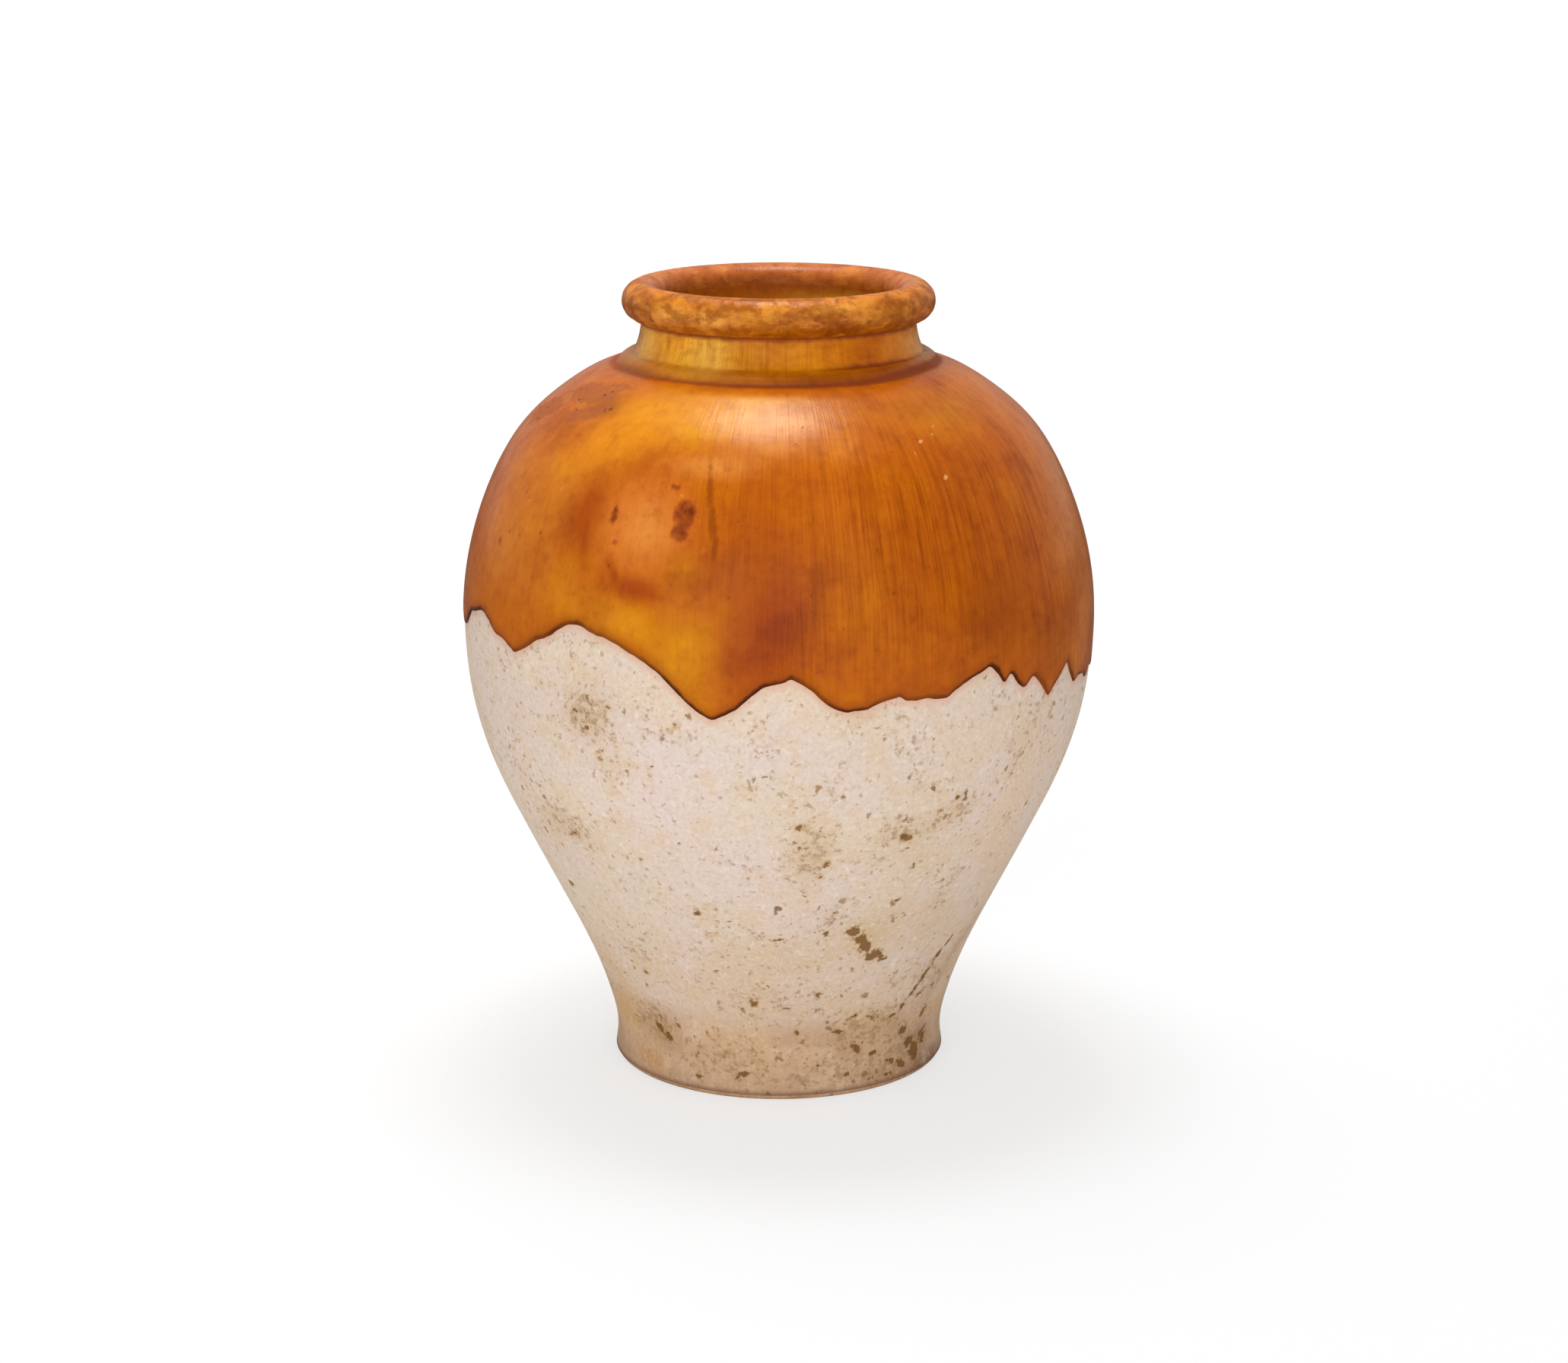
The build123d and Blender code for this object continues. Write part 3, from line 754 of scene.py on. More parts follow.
EASING = 0.38
EASING_REACH = 30
RAGGED_WAVES = (41, 67, 97, 139, 173, 211)
RAGGED_SIZE = 11
FAR_DOWN = (1, -100)
FAR_UP = (0.001, 1)


def edge_heights(azimuths):
    """Height of the glaze's edge round the jar in mm, with eased corners and a little raggedness."""
    turns, heights = np.array(EDGE, dtype=float).T
    fine = np.arange(EDGE_START, EDGE_START + 360, EDGE_STEP)
    level = np.interp(fine, turns, heights, period=360)
    beside = np.arange(-EASING_REACH, EASING_REACH + 1) * EDGE_STEP
    easing = np.exp(-0.5 * (beside / EASING) ** 2)
    padded = np.concatenate([level[-EASING_REACH:], level, level[:EASING_REACH]])
    level = np.convolve(padded, easing / easing.sum(), mode="valid")
    chance = np.random.default_rng(7)
    for waves in RAGGED_WAVES:
        level += RAGGED_SIZE / waves * np.sin(np.radians(fine) * waves + chance.uniform(0, math.tau))
    return np.interp(azimuths, fine, level, period=360)


lowest = min(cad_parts["outer_glaze"].data.vertices, key=lambda v: v.co.z).co
lowest_azimuth = math.degrees(math.atan2(lowest.x, -lowest.y))
glaze_outline = outline_of("outer_glaze", lowest_azimuth + JUST_BESIDE)
start = int(np.argmax(glaze_outline @ FAR_DOWN))
end = int(np.argmax(glaze_outline @ FAR_UP))
glaze_front = max(two_ways(glaze_outline, start, end), key=lambda line: smooth(line)[:, 0].mean())
glaze_front = smooth(glaze_front)
print("glaze runs from", np.round(glaze_front[0] / MM, 1), "to", np.round(glaze_front[-1] / MM, 1))


# %% Pour the glaze over the jar
COLUMNS = 640
EDGE_ROWS = [0, 0.25, 0.6, 1.1, 1.8, 2.8, 4.2, 6.0, 8.5]
WALL_ROWS = 72
NECK_ROWS = 40
BACK_WALL_ROWS = 9
BACK_NECK_ROWS = 25
BACK_EDGE_ROW = 5
GLAZE_DEPTH = 1.1 * MM
LIP_ROUND = 2.0 * MM
BEAD_AT = 4.5 * MM
BEAD_WIDTH = 4.0 * MM
ROOT_HEIGHT = 396.7 * MM
ROLL_START = 30 * MM
TOP_FADE = 8 * MM


def rough_field(around, up, swells, seed):
    """Seamless noise from -1 to 1 on the unrolled jar. Swells holds how many fit in a metre."""
    places = flow_of(around.ravel(), up.ravel()) * swells + seed
    return np.array([blender_noise.noise(Vector(place)) for place in places]).reshape(up.shape)


def glaze_rows(edge, root, top):
    """Ways up of the coat's rows: up its front from the edge to the top, then down its back."""
    near = [edge + offset * MM for offset in EDGE_ROWS]
    wall = [near[-1] + (root - near[-1]) * share for share in np.linspace(0, 1, WALL_ROWS + 1)[1:]]
    neck = [np.full(COLUMNS, up) for up in np.linspace(root, top, NECK_ROWS + 1)[1:]]
    back = [np.full(COLUMNS, up) for up in np.linspace(top, root, BACK_NECK_ROWS)]
    shares = np.linspace(0, 1, BACK_WALL_ROWS + 1)[1:]
    back += [root + (near[BACK_EDGE_ROW] - root) * share for share in shares]
    return np.array(near + wall + neck), np.array(back)


def front_sink(around, up, above, root, top):
    """How deep the front lies under the line: uneven, lumpy on the rim, and rounded at its edge."""
    swell = rough_field(around, up, 24, 3.1)
    lumps = np.abs(rough_field(around, up, 70, 9.4))
    on_rim = ramp(up, root + ROLL_START, root + ROLL_START + 4 * MM)
    uneven = (0.14 + 0.12 * swell + 1.1 * lumps * on_rim) * MM
    skin = uneven * (1 - 0.75 * bell(above - BEAD_AT, BEAD_WIDTH)) * ramp(up, top, top - TOP_FADE)
    lip = ramp(above, LIP_ROUND, 0)
    return skin + (GLAZE_DEPTH - skin) * (1 - np.sqrt(1 - lip**2))


def ring_faces(rows, columns):
    """Faces of a grid that is closed both ways round."""
    row, column = np.mgrid[:rows, :columns]
    next_row = (row + 1) % rows
    next_column = (column + 1) % columns
    corners = ((row, column), (row, next_column), (next_row, next_column), (next_row, column))
    return np.stack([r * columns + c for r, c in corners], axis=-1).reshape(-1, 4)


def pour(name, line, coat):
    """Closed coat of glaze, and its points' azimuths, ways up and distances above the edge in mm."""
    run = run_of(line)
    azimuths = np.arange(COLUMNS) * 360 / COLUMNS
    edge = way_up(edge_heights(azimuths) * MM, line)
    root = way_up(ROOT_HEIGHT, line)
    front, back = glaze_rows(edge, root, run[-1])
    up = np.vstack([front, back])
    around = np.tile(azimuths, (len(up), 1))
    slant = (np.roll(edge, -2) - np.roll(edge, 2)) / (4 * math.tau / COLUMNS * line[0, 0])
    above = (up - edge) / np.sqrt(1 + slant**2)
    rows = len(front)
    depth = np.full(up.shape, GLAZE_DEPTH)
    depth[:rows] = front_sink(around[:rows], front, above[:rows], root, run[-1])
    slope = np.gradient(line, axis=0)
    slope /= np.hypot(*slope.T)[:, None]
    radius = np.interp(up, run, line[:, 0]) - depth * np.interp(up, run, slope[:, 1])
    height = np.interp(up, run, line[:, 1]) + depth * np.interp(up, run, slope[:, 0])
    turn = np.radians(around)
    points = np.stack([radius * np.sin(turn), -radius * np.cos(turn), height], axis=-1).reshape(-1, 3)
    faces = ring_faces(*up.shape)
    mesh = bpy.data.meshes.new(name)
    mesh.from_pydata(points.tolist(), [], faces.tolist())
    mesh.materials.append(coat)
    piece = into_scene(name, mesh)
    print(name, "has", 2 * len(faces), "triangles and", close_up(mesh, SPECK), "open edges")
    return piece, around.ravel(), up.ravel(), above.ravel() / MM


# %% [markdown]
# The glaze's colours: honey on the left shoulder, where the coat lies thin and takes the light, a tan
# island with a dark scar, a burnt flow down the middle, streaky amber to the right, and a rusty worn
# patch at the upper left. The back of the jar isn't in the photograph, so it gets the same kinds of
# patches in other places.

# %% Where the glaze changes colour
GLAZE_STROKES = [
    (34, 318, 70, 70, (184, 88, 4), 0.8), (55, 330, 46, 90, (186, 90, 14), 0.7),
    (-52, 345, 44, 34, (208, 118, 26), 0.9), (-54, 308, 44, 40, (206, 114, 24), 0.9),
    # The pinkish tan strokes at -78 and 74 degrees are partly the glaze's colour and partly a painted
    # reflection of the bright room at the jar's edges.
    (-78, 320, 34, 70, (200, 108, 48), 0.8), (-26, 384, 42, 20, HONEY, 0.9, 2.4),
    (-40, 370, 29, 18, (226, 138, 18), 0.9, 2.4, 20), (-5, 384, 60, 12, (222, 134, 26), 0.8),
    (-30, 286, 30, 12, (220, 134, 22), 1, 2.6, -8), (-17, 270, 20, 22, (214, 130, 14), 1, 2.6, -20),
    (-20, 298, 14, 12, (208, 114, 20), 0.9, 2.6), (-14, 250, 14, 12, (200, 112, 14), 0.7),
    (-43, 298, 22, 12, (208, 116, 24), 0.7), (-39, 335, 13, 22, (172, 74, 8), 0.95, 2.6, -18),
    (-26, 333, 25, 27, (220, 122, 44), 0.95, 3.4), (-25, 332, 14, 12, (228, 141, 58), 0.7, 3),
    (-13, 363, 22, 7, (228, 144, 62), 0.7, 2.4), (-25.5, 302, 18, 7, (176, 74, 18), 0.95, 2.6, -8),
    (-17, 314, 11, 9, (206, 120, 10), 0.75, 2.4), (-4, 330, 20, 30, (182, 84, 4), 0.7),
    (-1, 285, 20, 36, CHERRY, 0.9, 2.2, -8), (-6, 264, 14, 12, (180, 80, 6), 0.5, 2, -30),
    (12, 340, 18, 34, (200, 102, 12), 0.7), (14, 300, 14, 30, (198, 104, 14), 0.6),
    (20, 275, 24, 24, (192, 98, 14), 0.5), (42, 284, 22, 26, (164, 76, 10), 0.8),
    (30, 382, 44, 12, (198, 104, 18), 0.8), (48, 384, 40, 16, (190, 104, 22), 0.9),
    # At 74 degrees: partly glaze colour, partly painted reflection at the edge.
    (74, 310, 30, 90, (214, 126, 56), 0.8), (57, 260, 16, 30, (160, 74, 20), 0.6),
    (118, 350, 60, 34, GOLD, 0.8), (104, 290, 40, 40, ORANGE, 0.7), (136, 300, 26, 54, BURNT, 0.8, 2, 8),
    (160, 330, 34, 34, TAN_GLAZE, 0.8, 3), (172, 290, 22, 30, CHERRY, 0.7),
    (190, 370, 70, 20, HONEY, 0.8), (205, 300, 34, 44, GOLD, 0.7, 2, -8), (228, 320, 24, 60, BURNT, 0.8),
    (246, 290, 26, 26, TAN_GLAZE, 0.7, 3), (262, 350, 44, 34, ORANGE, 0.8),
    (0, 390, 400, 3, (206, 110, 20), 0.4), (-58, 397, 30, 5, (150, 78, 14), 0.85, 3),
    (30, 400, 60, 5, (158, 74, 2), 0.85, 4), (-30, 400, 30, 4, (204, 128, 20), 0.8, 3),
    # The pale strokes at -6 degrees 384 mm, -1 degrees 372 mm and -5 degrees 391 mm are a painted
    # highlight: the lamp's gleam on the shoulder drawn into the glaze's colour.
    (-6, 384, 30, 10, (238, 160, 60), 0.6), (14, 371, 14, 9, (220, 130, 44), 0.7),
    (-1, 372, 16, 7, (228, 146, 66), 0.6), (-5, 391, 26, 4, (246, 180, 100), 0.75),
    (-56, 282, 22, 22, (194, 98, 8), 0.6), (-38, 322, 2.6, 13, (164, 68, 12), 0.7, 3, 8),
    (-31, 311, 3, 8, (164, 68, 12), 0.7, 3, 30), (-24.5, 300.5, 10, 2.4, (164, 68, 12), 0.7, 3, -8),
    (-51, 384, 12, 10, (166, 84, 14), 0.95, 3), (-55, 368, 18, 10, (196, 102, 14), 0.8),
    # The band round the neck at 410 mm keeps its own yellow-to-orange changes, but is painted brighter
    # than the glaze's colour: painted light that makes up for the shade under the rolled rim.
    (-75, 410, 34, 12, (255, 196, 96), 1, 3), (-45, 410, 34, 12, (255, 174, 38), 1, 3),
    (-26, 410, 17, 12, (255, 194, 80), 1, 2.4), (-10, 410, 18, 12, (222, 138, 8), 1, 2.4),
    (10, 410, 26, 12, (228, 138, 4), 1, 3), (26, 410, 16, 12, (222, 126, 2), 1, 3),
    (42, 410, 16, 12, (200, 100, 2), 1, 3), (58, 410, 20, 12, (232, 136, 26), 1, 3),
    (80, 410, 26, 12, (240, 156, 60), 1, 3), (130, 410, 40, 12, GOLD, 1, 3),
    (180, 410, 50, 12, (216, 134, 14), 1, 3), (230, 410, 40, 12, ORANGE, 1, 3),
    (262, 410, 30, 12, GOLD, 1, 3),
]
RIM_BASE = (206, 118, 26)
RIM_STROKES = [
    # The dark band low on the roll, round 422 mm, and the dark strokes near 427 mm at 20 and 46 degrees,
    # are partly brown glaze and partly painted shade under the roll.
    (0, 434, 4000, 4.5, (196, 110, 27), 0.8), (0, 422, 4000, 7, (170, 90, 4), 0.9, 3),
    # The pale strokes at -42 and -25 degrees near 430 mm, and at 5 and 22 degrees near 436 mm, are
    # painted highlights on top of the roll.
    (-66, 431, 22, 8, (190, 110, 30), 0.85), (-42, 430, 15, 4.6, (246, 164, 64), 0.9),
    (-25, 430, 15, 4.6, (250, 172, 70), 0.95), (-10, 429, 12, 4, (214, 128, 30), 0.8),
    (5, 436, 18, 3, (234, 148, 54), 0.8), (22, 436, 14, 3, (244, 164, 66), 0.9),
    (20, 427, 18, 5, (156, 76, 2), 0.8), (34, 430, 10, 3, (214, 130, 40), 0.8),
    (46, 427, 14, 6, (164, 84, 10), 0.8), (62, 431, 14, 6, (196, 112, 34), 0.8),
    (78, 433, 16, 8, (206, 122, 50), 0.9), (-82, 428, 14, 8, (180, 106, 44), 0.8),
    (-6, 440.2, 30, 1.8, (126, 52, 4), 0.75, 3), (120, 430, 30, 9, (196, 108, 40), 0.8),
    (180, 434, 44, 7, (186, 96, 44), 0.8), (240, 430, 34, 9, (200, 116, 44), 0.8),
]
STAINS = [
    (-20.8, 352.4, 3.6, 1.7, 0.8, 3), (-18.2, 339, 5.8, 9.4, 0.76, 5), (-16.8, 341, 2.9, 5.4, 0.95, 3),
    (-18.4, 332, 5.4, 6.4, 0.8, 5), (-32.6, 336.8, 1.9, 5.8, 1, 3), (-31.2, 324, 2.2, 2, 0.5),
    (-63, 311, 2.2, 3, 0.75), (-64, 274, 1.6, 2, 0.7), (-52, 293, 1.4, 1.6, 0.6),
    (7, 264, 3, 2.4, 0.6, 2, 20), (4, 268, 2.6, 2.2, 0.55), (9, 270, 3.4, 1.2, 0.5, 2, 15),
    (-60, 318, 1.6, 2.2, 0.6), (40, 262, 6, 1.4, 0.4), (150, 300, 5, 4, 0.9, 3),
    (210, 350, 3, 6, 0.9, 3, 10), (250, 320, 4, 3, 0.8), (118, 320, 2.4, 5, 0.8),
]
RUSTS = [
    (-63, 387, 26, 10, 1, 4, 6), (-57, 378, 18, 7, 0.9, 3, 20), (-78, 374, 22, 12, 0.95, 3, 20),
    (-54, 392, 13, 4, 0.9, 3), (-51, 383, 8, 5, 0.7, 3), (-26, 308, 12, 4, 0.35),
    (140, 372, 30, 12, 0.9, 3, -8), (222, 384, 24, 9, 0.8, 3, 5), (190, 280, 12, 8, 0.6),
]
CRACKS = [
    (-14.5, 363, 1.6, 13, 0.65, 3, 8), (-13.4, 350, 2.1, 14, 0.95, 3, 8),
    (-12.4, 337, 2.5, 13, 1.05, 3, 8), (-11.5, 325, 2.1, 9, 0.95, 3), (-10.4, 345, 0.9, 14, 0.5, 3, 6),
    (-7.5, 350, 0.9, 16, 0.4, 3, 4), (-1, 352, 1, 18, 0.45, 3), (8, 338, 0.9, 16, 0.4, 3),
    (165, 350, 1, 20, 0.8, 3, 3),
]
LIGHT_FLECKS = [
    (-19.4, 348.6, 5.4, 1.1, 0.6), (36, 354, 1.9, 1.9, 1), (29, 369, 4.5, 0.9, 0.9, 2, 12),
    (34, 371, 3, 0.9, 0.9, 2, -10), (38, 373, 2.6, 1.2, 1, 2, 20), (40, 377, 2.4, 1, 0.8, 2, 30),
    (31, 366, 1.2, 3, 0.6), (-57, 335, 2.4, 1.2, 0.6, 2, 40), (-48, 345, 1.4, 4, 0.6),
    (6, 384, 1.2, 5, 0.5), (16, 330, 1.2, 3, 0.5, 2, 20), (24, 316, 1.4, 2.4, 0.5),
    (44, 330, 1.2, 4, 0.5), (150, 350, 3, 1.4, 0.7, 2, 20), (240, 340, 2, 4, 0.6),
]
STREAKY = [
    (24, 330, 70, 70, 1, 3), (56, 340, 40, 90, 0.8, 3), (4, 280, 30, 26, 0.7), (-8, 345, 22, 40, 0.7),
    (120, 310, 80, 70, 0.9, 3), (200, 320, 70, 80, 0.9, 3), (270, 330, 60, 60, 0.5),
    (-30, 410, 80, 12, 0.8, 3),
]


# %% Glaze material
def glaze_material(name):
    """Shiny amber glass over clay: painted patches, highlights and shade, streaks, specks, scars and a
    dark lower edge.
    """
    material, tree, shader, place = new_material(name)
    flow = read(tree, "flow", "Vector")
    rim = read(tree, "rim")
    long_streak = use(tree, streaks, {"Flow": flow, "Width": 4.5 * MM, "Length": 90 * MM})
    fine_streak = use(tree, streaks, {"Flow": flow, "Width": 1.5 * MM, "Length": 34 * MM})
    run_down = calc(tree, "MULTIPLY_ADD", read(tree, "streaky"), 0.85, 0.15)
    cloud = noise(tree, place, 30, 5, 0.6)
    blotch = noise(tree, place, 150, 4, 0.65)
    colour = read(tree, "paint", "Color")
    for mask, factors in (
        (times(tree, ease(tree, long_streak, 0.5, 0.95, 0, 0.42), run_down), (0.6, 0.45, 0.3)),
        (times(tree, ease(tree, fine_streak, 0.5, 1.0, 0, 0.38), run_down), (0.6, 0.45, 0.3)),
        (times(tree, ease(tree, fine_streak, 0.45, 0.0, 0, 0.34), run_down), (1.3, 1.45, 1.6)),
        (ease(tree, cloud, 0.5, 0.66, 0, 0.6), (0.74, 0.6, 0.3)),
        (ease(tree, cloud, 0.48, 0.34, 0, 0.6), (1.1, 1.3, 1.0)),
        (times(tree, ease(tree, blotch, 0.5, 0.66), ease(tree, rim, 0, 1, 0.25, 0.8)), (0.6, 0.46, 0.28)),
        (times(tree, ease(tree, blotch, 0.5, 0.34), ease(tree, rim, 0, 1, 0.2, 0.7)), (1.2, 1.35, 1.6)),
    ):
        colour = filter_by(tree, colour, mask, factors)
    crawl = noise(tree, vector_calc(tree, "MULTIPLY", place, (1.0, 1.0, 2.4)), 80, 4, 0.6)
    bald = times(tree, ease(tree, crawl, 0.48, 0.62), rim)
    peach = times(tree, ease(tree, crawl, 0.48, 0.36), rim)
    wavy = torn(tree, read(tree, "edge"), blotch, 3.0)
    thick_edge_tone_and_shade = ease(tree, noise(tree, place, 17, 2), 0.4, 0.56, 0.45, 0.95)
    pooled_and_shaded_crease = ease(tree, torn(tree, read(tree, "crease"), blotch, 0.5), 0.1, 0.8)
    ragged = noise(tree, place, 300, 3, 0.6)
    rusty = ease(tree, torn(tree, read(tree, "rust"), ragged, 1.5), 0.3, 0.8)
    flecked = use(tree, pits, {
        "Place": place, "Cells": 260.0, "Size": 0.5, "Amount": times(tree, rusty, 0.4)})
    blot = torn(tree, read(tree, "stain"), ragged, 1.0)
    stain = ease(tree, blot, 0.48, 1.08)
    crack = ease(tree, torn(tree, read(tree, "crack"), ragged, 0.6), 0.2, 0.9)
    fleck = ease(tree, read(tree, "fleck"), 0.3, 0.7)
    patchy = ease(tree, noise(tree, place, 26, 3), 0.45, 0.7, 0.01, 0.14)
    specks = use(tree, pits, {"Place": place, "Cells": 240.0, "Size": 0.3, "Amount": patchy})
    for mask, chart_colour in (
        (times(tree, bald, 0.58), (152, 76, 3)), (times(tree, peach, 0.45), (238, 152, 58)),
        # Towards its lower edge the glaze turns brown and ends in a dark line: partly the thick glaze's
        # own colour, partly painted shade under its rounded bead.
        (ease(tree, wavy, 8.0, 1.0, 0, 0.5), (150, 68, 6)),
        (times(tree, ease(tree, wavy, 3.4, 0.9), thick_edge_tone_and_shade), (70, 28, 4)),
        # Creases darken as pooled glaze and painted shade.
        (times(tree, pooled_and_shaded_crease, 0.85), (146, 58, 2)), (times(tree, rusty, 0.75), (168, 88, 42)),
        (times(tree, flecked, 0.8), (120, 48, 24)), (ease(tree, blot, 0.1, 0.6, 0, 0.75), (158, 66, 22)),
        (times(tree, stain, 0.85), STAIN), (times(tree, crack, 0.6), (140, 60, 8)),
        (times(tree, fleck, 0.6), (248, 190, 110)), (times(tree, specks, 0.55), (120, 56, 10)),
    ):
        colour = tint(tree, colour, mask, chart_colour)
    rough = ease(tree, cloud, 0.3, 0.7, 0.17, 0.28)
    for worn, rougher in ((rusty, 0.3), (rim, 0.12), (pooled_and_shaded_crease, 0.3)):
        rough = plus(tree, rough, times(tree, worn, rougher))
    relief = plus(tree, times(tree, long_streak, 0.5), times(tree, fine_streak, 0.35))
    relief = plus(tree, relief, times(tree, blotch, ease(tree, rim, 0, 1, 1.2, 3.4)))
    for hole, depth in ((specks, 1.0), (flecked, 1.2), (stain, 1.0), (crack, 1.0)):
        relief = minus(tree, relief, times(tree, hole, depth))
    shader.inputs["IOR"].default_value = 1.5
    dress(tree, shader, colour, rough, 0.26, relief, 0.14 * MM)
    return material


# %% [markdown]
# ## The clay itself
#
# Nearly all of the clay hides under its coats. Only the underside of the foot and the base stay bare,
# and the fired slip that glued the sections shows nowhere but there.

# %% Clay and slip materials
def clay_material(name, body, dark, light):
    """Coarse bare stoneware with grit and pits."""
    material, tree, shader, place = new_material(name)
    cloud = noise(tree, place, 40, 4)
    grain = noise(tree, place, 500, 3, 0.7)
    grit = use(tree, pits, {"Place": place, "Cells": 210.0, "Size": 0.42, "Amount": 0.22})
    colour = mix(tree, ease(tree, cloud, 0.35, 0.7), srgb(*body), srgb(*dark))
    colour = tint(tree, colour, ease(tree, grain, 0.4, 0.75, 0, 0.6), light)
    colour = tint(tree, colour, times(tree, grit, 0.7), UMBER)
    relief = minus(tree, times(tree, grain, 0.6), grit)
    dress(tree, shader, colour, 0.92, 0.2, relief, 0.3 * MM)
    return material


clay = clay_material("bare_clay", (204, 164, 126), (182, 136, 98), (222, 190, 156))
slip = clay_material("fired_slip", (190, 150, 116), (170, 126, 90), (206, 172, 138))
for name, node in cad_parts.items():
    if name in ("pale_wash", "outer_glaze", "inner_glaze"):
        continue
    bare = slip if name == "luting_slip" else clay
    if not node.data.materials:
        node.data.materials.append(None)
    for place in node.material_slots:
        place.material = bare
print("bare clay dressed:", clay.name, "and", slip.name)

# %% [markdown]
# ## Put the coats on
#
# First the wash, then the lining, then the outer glaze. Each coat is made, gets the values that its
# material reads, and then takes the place of the plain coat that came with the frame.

# %% The wash
WASH_BASE = (224, 205, 183)
WASH_BANDS = [
    (0, 250, 2000, 26, (230, 207, 183), 0.8), (0, 66, 2000, 24, (222, 193, 162), 0.8),
    (0, 36, 2000, 14, (218, 178, 136), 0.9), (0, 20, 2000, 12, (212, 170, 128), 0.8),
    (0, 4, 2000, 8, (190, 150, 118), 0.9),
]
wash = throw("pale_wash_skin", wash_front, wash_back, wash_material(), {
    "Rows": 135, "Columns": 540, "Back Rows": 45})
spots = points_of(wash.data)
around = azimuth_of(spots)
up = way_up(spots[:, 2], wash_front)
store(wash.data, "paint", paint(around, up, wash_front, WASH_BASE, WASH_BANDS + WASH_STROKES))
store(wash.data, "pitted", dab(around, up, wash_front, PIT_CLUSTERS))
store(wash.data, "chipped", dab(around, up, wash_front, CHIPS))
store(wash.data, "below_glaze", edge_heights(around) - spots[:, 2] / MM)
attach(wash, "root")
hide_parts("pale_wash")

# %% The lining
LINING_BASE = (226, 124, 22)
LINING_STROKES = [
    (212, 400, 50, 50, (190, 94, 14), 0.85), (148, 405, 34, 60, (250, 176, 50), 0.9),
    (0, 405, 60, 60, (190, 100, 14), 0.6), (0, 150, 2000, 120, (150, 90, 34), 0.8),
]
# The upper mouth band, 433 to 439 mm, is a painted reflection: the pinkish gleam on the inner face of the
# rim. The lower band is the glaze's own brown.
MOUTH_TONE_AND_SHEEN = ((420, 428, (176, 88, 22)), (433, 439, (200, 112, 58)))
lining_outline = outline_of("inner_glaze", CUT_AZIMUTH)
crown = int(np.argmax(lining_outline[:, 1]))
front_pole = (0, lining_outline[0, 1])
back_pole = (0, lining_outline[-1, 1])
lining_front = smooth(np.vstack([front_pole, lining_outline[:crown + 1]]))
lining_back = smooth(np.vstack([back_pole, lining_outline[crown:][::-1]]))
lining = throw("inner_glaze_skin", lining_front, lining_back, glaze_material("lining_glaze"), {
    "Rows": 190, "Columns": 300, "Back Rows": 120, "Wobble": 0.2 * MM, "Seed": 5.0})
spots = points_of(lining.data)
around = azimuth_of(spots)
level = spots[:, 2] / MM
up = way_up(spots[:, 2], lining_front)
shade = paint(around, up, lining_front, LINING_BASE, LINING_STROKES)
for low, high, tone_and_sheen in MOUTH_TONE_AND_SHEEN:
    shade += (np.array(srgb(*tone_and_sheen)) - shade) * ramp(level, low, high)[:, None]
store(lining.data, "paint", shade)
store(lining.data, "flow", flow_of(around, up))
store(lining.data, "rim", ramp(level, 420, 436) * 0.6)
store(lining.data, "edge", np.full(len(spots), 50.0))
for name in ("crease", "rust", "stain", "crack", "fleck", "streaky"):
    store(lining.data, name, np.zeros(len(spots)))
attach(lining, "root")
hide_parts("inner_glaze")

# %% [markdown]
# The glaze also lies dark in three creases: at the root of the neck, on top of the coil there, and
# under the rolled rim. The darkness is partly glaze pooled there and partly painted shade. The one at
# the root is stronger to the right, where it climbs onto the coil.
# The one on top of the coil shows only to the right. Behind the jar they are as they are at the left.

# %% The outer glaze
COIL_TOP_HEIGHT = 403 * MM
UNDER_ROLL_HEIGHT = 418.6 * MM


def crease_of(around, up, root, coil_top, under_roll):
    """How deep in a crease each place lies, which darkens it as pooled glaze and painted shade."""
    side = (around + 180) % 360 - 180
    home = ramp(side, 150, 90)
    to_right = ramp(side, -25, 10) * home
    far_right = ramp(side, 0, 32) * (1 - 0.5 * ramp(side, 45, 70)) * home
    climb = (ramp(side, 32, 57) * home * 3.8 - 0.8) * MM
    at_root = bell(up - root - climb, 3.3 * MM) * (0.62 + 0.38 * to_right)
    on_coil = 0.8 * bell(up - coil_top, 2.2 * MM) * far_right
    below_roll = 0.8 * bell(up - under_roll - 1 * MM, 2.4 * MM)
    return np.maximum(np.maximum(at_root, on_coil), below_roll)


glaze, around, up, above = pour("outer_glaze_skin", glaze_front, glaze_material("amber_glaze"))
root = way_up(ROOT_HEIGHT, glaze_front)
coil_top = way_up(COIL_TOP_HEIGHT, glaze_front)
under_roll = way_up(UNDER_ROLL_HEIGHT, glaze_front)
body = paint(around, up, glaze_front, AMBER, GLAZE_STROKES)
roll = paint(around, up, glaze_front, RIM_BASE, RIM_STROKES)
on_roll = ramp(up, under_roll, under_roll + 3 * MM)
store(glaze.data, "paint", body + (roll - body) * on_roll[:, None])
store(glaze.data, "rim", 0.3 * ramp(up, root, root + 18 * MM) + 0.7 * on_roll)
store(glaze.data, "flow", flow_of(around, up))
store(glaze.data, "edge", above)
store(glaze.data, "crease", crease_of(around, up, root, coil_top, under_roll))
for name, marks in (
    ("rust", RUSTS), ("stain", STAINS), ("crack", CRACKS), ("fleck", LIGHT_FLECKS), ("streaky", STREAKY),
):
    store(glaze.data, name, dab(around, up, glaze_front, marks))
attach(glaze, "root")
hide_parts("outer_glaze")

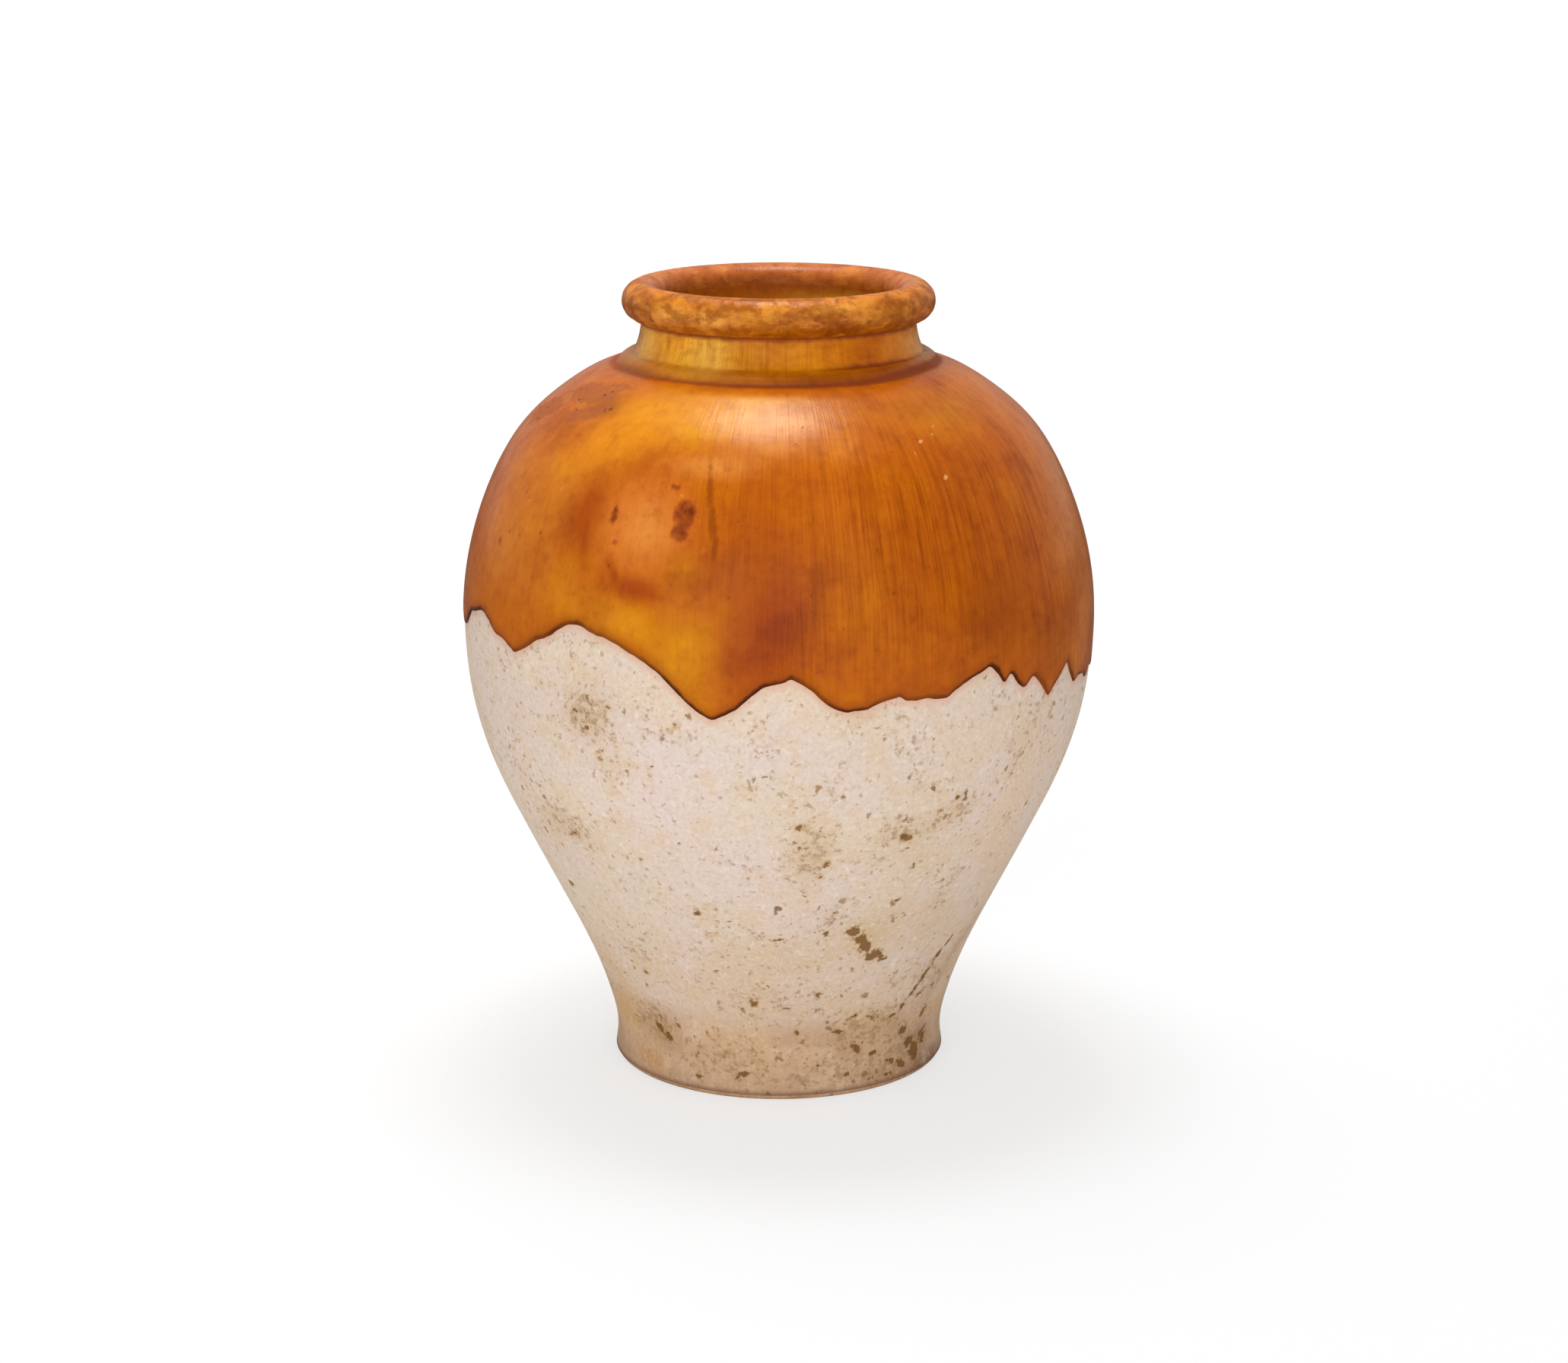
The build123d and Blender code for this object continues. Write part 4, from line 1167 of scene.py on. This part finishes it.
# %% [markdown]
# ## The photographer's table
#
# A plain white table in a bright room, with two soft lamps overhead and a third one farther off in
# front. Only the smaller lamp overhead shows in the gloss, as one soft highlight on the shoulder and
# one on the rim.
#
# The table looks white to the camera, yet still takes the jar's shadow, because the extra white depends
# on which kind of ray looks at it. Gloss sees it dark, so that it doesn't bleach the glaze.

# %% Table
TABLE_REACH = 6.0
PAPER = 0.9
PAPER_IN_GLOSS = 0.12


def table_material():
    """White table that keeps shadows and reads as open white to the camera."""
    material = bpy.data.materials.new("white_table")
    material.use_nodes = True
    tree = material.node_tree
    tree.nodes.clear()
    rays = put(tree, "ShaderNodeLightPath").outputs
    place = put(tree, "ShaderNodeTexCoord").outputs["Object"]
    away = put(tree, "ShaderNodeVectorMath", {0: place}, operation="LENGTH").outputs["Value"]
    share = times(tree, rays["Is Camera Ray"], ease(tree, away, 0.35, 0.9, 0.62, 1.0))
    paper = ease(tree, rays["Is Glossy Ray"], 0, 1, PAPER, PAPER_IN_GLOSS)
    grey = put(tree, "ShaderNodeCombineColor", {0: paper, 1: paper, 2: paper}).outputs[0]
    matt = put(tree, "ShaderNodeBsdfDiffuse", {"Color": grey}).outputs[0]
    glow = put(tree, "ShaderNodeEmission", {"Color": (1, 1, 1, 1), "Strength": 1.02}).outputs[0]
    both = put(tree, "ShaderNodeMixShader", {0: share, 1: matt, 2: glow})
    put(tree, "ShaderNodeOutputMaterial", {"Surface": both.outputs[0]})
    return material


table_mesh = bpy.data.meshes.new("table")
corners = [(x * TABLE_REACH, y * TABLE_REACH, 0) for x, y in ((-1, -1), (1, -1), (1, 1), (-1, 1))]
table_mesh.from_pydata(corners, [], [(0, 1, 2, 3)])
table_mesh.materials.append(table_material())
table = into_scene("table", table_mesh)
print("table reaches", TABLE_REACH, "m each way")


# %% Lamps
def soft_box(name, place, aim, size, power, seen_in_gloss):
    """Rectangular lamp that points at a place. Size is in metres, power in watts."""
    lamp = bpy.data.lights.new(name, "AREA")
    lamp.shape = "RECTANGLE"
    lamp.size, lamp.size_y = size
    lamp.energy = power
    stand = bpy.data.objects.new(name, lamp)
    stand.location = place
    stand.rotation_euler = (Vector(aim) - Vector(place)).to_track_quat("-Z", "Y").to_euler()
    stand.visible_glossy = seen_in_gloss
    bpy.context.scene.collection.objects.link(stand)
    print("lamp", name, "gives", power, "W")


soft_box("overhead", (-0.04, 0.15, 1.85), (0, 0, 0.3), (0.58, 0.46), 9.2, True)
soft_box("overhead_soft", (-0.25, 0.55, 1.9), (0, 0, 0.2), (1.0, 1.0), 12, False)
soft_box("front_fill", (-0.35, -2.3, 0.8), (0, 0, 0.22), (1.7, 1.1), 14, False)


# %% [markdown]
# The room is brightest in front of the jar. The gloss sees a room of its own, dark in front and
# brighter behind, so that only the jar's edges and top catch its light.

# %% Room
def bright_room():
    """World whose brightness depends on the direction and on the kind of ray."""
    room = bpy.data.worlds.new("room")
    room.use_nodes = True
    tree = room.node_tree
    tree.nodes.clear()
    rays = put(tree, "ShaderNodeLightPath").outputs
    way = put(tree, "ShaderNodeTexCoord").outputs["Generated"]
    depth = put(tree, "ShaderNodeSeparateXYZ", {"Vector": way}).outputs[1]
    dim = plus(tree, ease(tree, depth, -0.9, 0.9, 0.38, 0.6), ease(tree, depth, -0.45, -0.95, 0, 0.62))
    mirrored = ease(tree, depth, -0.4, 0.95, 0.02, 0.34)
    seen = put(tree, "ShaderNodeMix", {0: rays["Is Glossy Ray"], 2: dim, 3: mirrored}).outputs[0]
    strength = calc(tree, "MAXIMUM", seen, times(tree, rays["Is Camera Ray"], 1.05))
    glow = put(tree, "ShaderNodeBackground", {"Color": (0.97, 0.98, 1, 1), "Strength": strength})
    put(tree, "ShaderNodeOutputWorld", {"Surface": glow.outputs[0]})
    return room


bpy.context.scene.world = bright_room()
print("room lit by", bpy.context.scene.world.name)

# %% [markdown]
# ## The camera
#
# Fitting the ellipses of the foot, the belly and the rim in the photograph gave the camera's place and
# how far it looks down. Standard colours keep the amber as it is set.

# %% Camera
CAMERA_PLACE = (0.0029, -1.8506, 0.6839)
LOOK_DOWN = math.radians(14.231)
lens = bpy.data.cameras.new("camera")
lens.lens = 78.05
lens.sensor_width = 36
lens.clip_start = 0.05
camera = bpy.data.objects.new("camera", lens)
camera.location = CAMERA_PLACE
camera.rotation_euler = (math.radians(90) - LOOK_DOWN, 0, 0)
bpy.context.scene.collection.objects.link(camera)
bpy.context.scene.camera = camera
bpy.context.scene.view_settings.view_transform = "Standard"
print("camera looks down by", round(math.degrees(LOOK_DOWN), 1), "degrees")
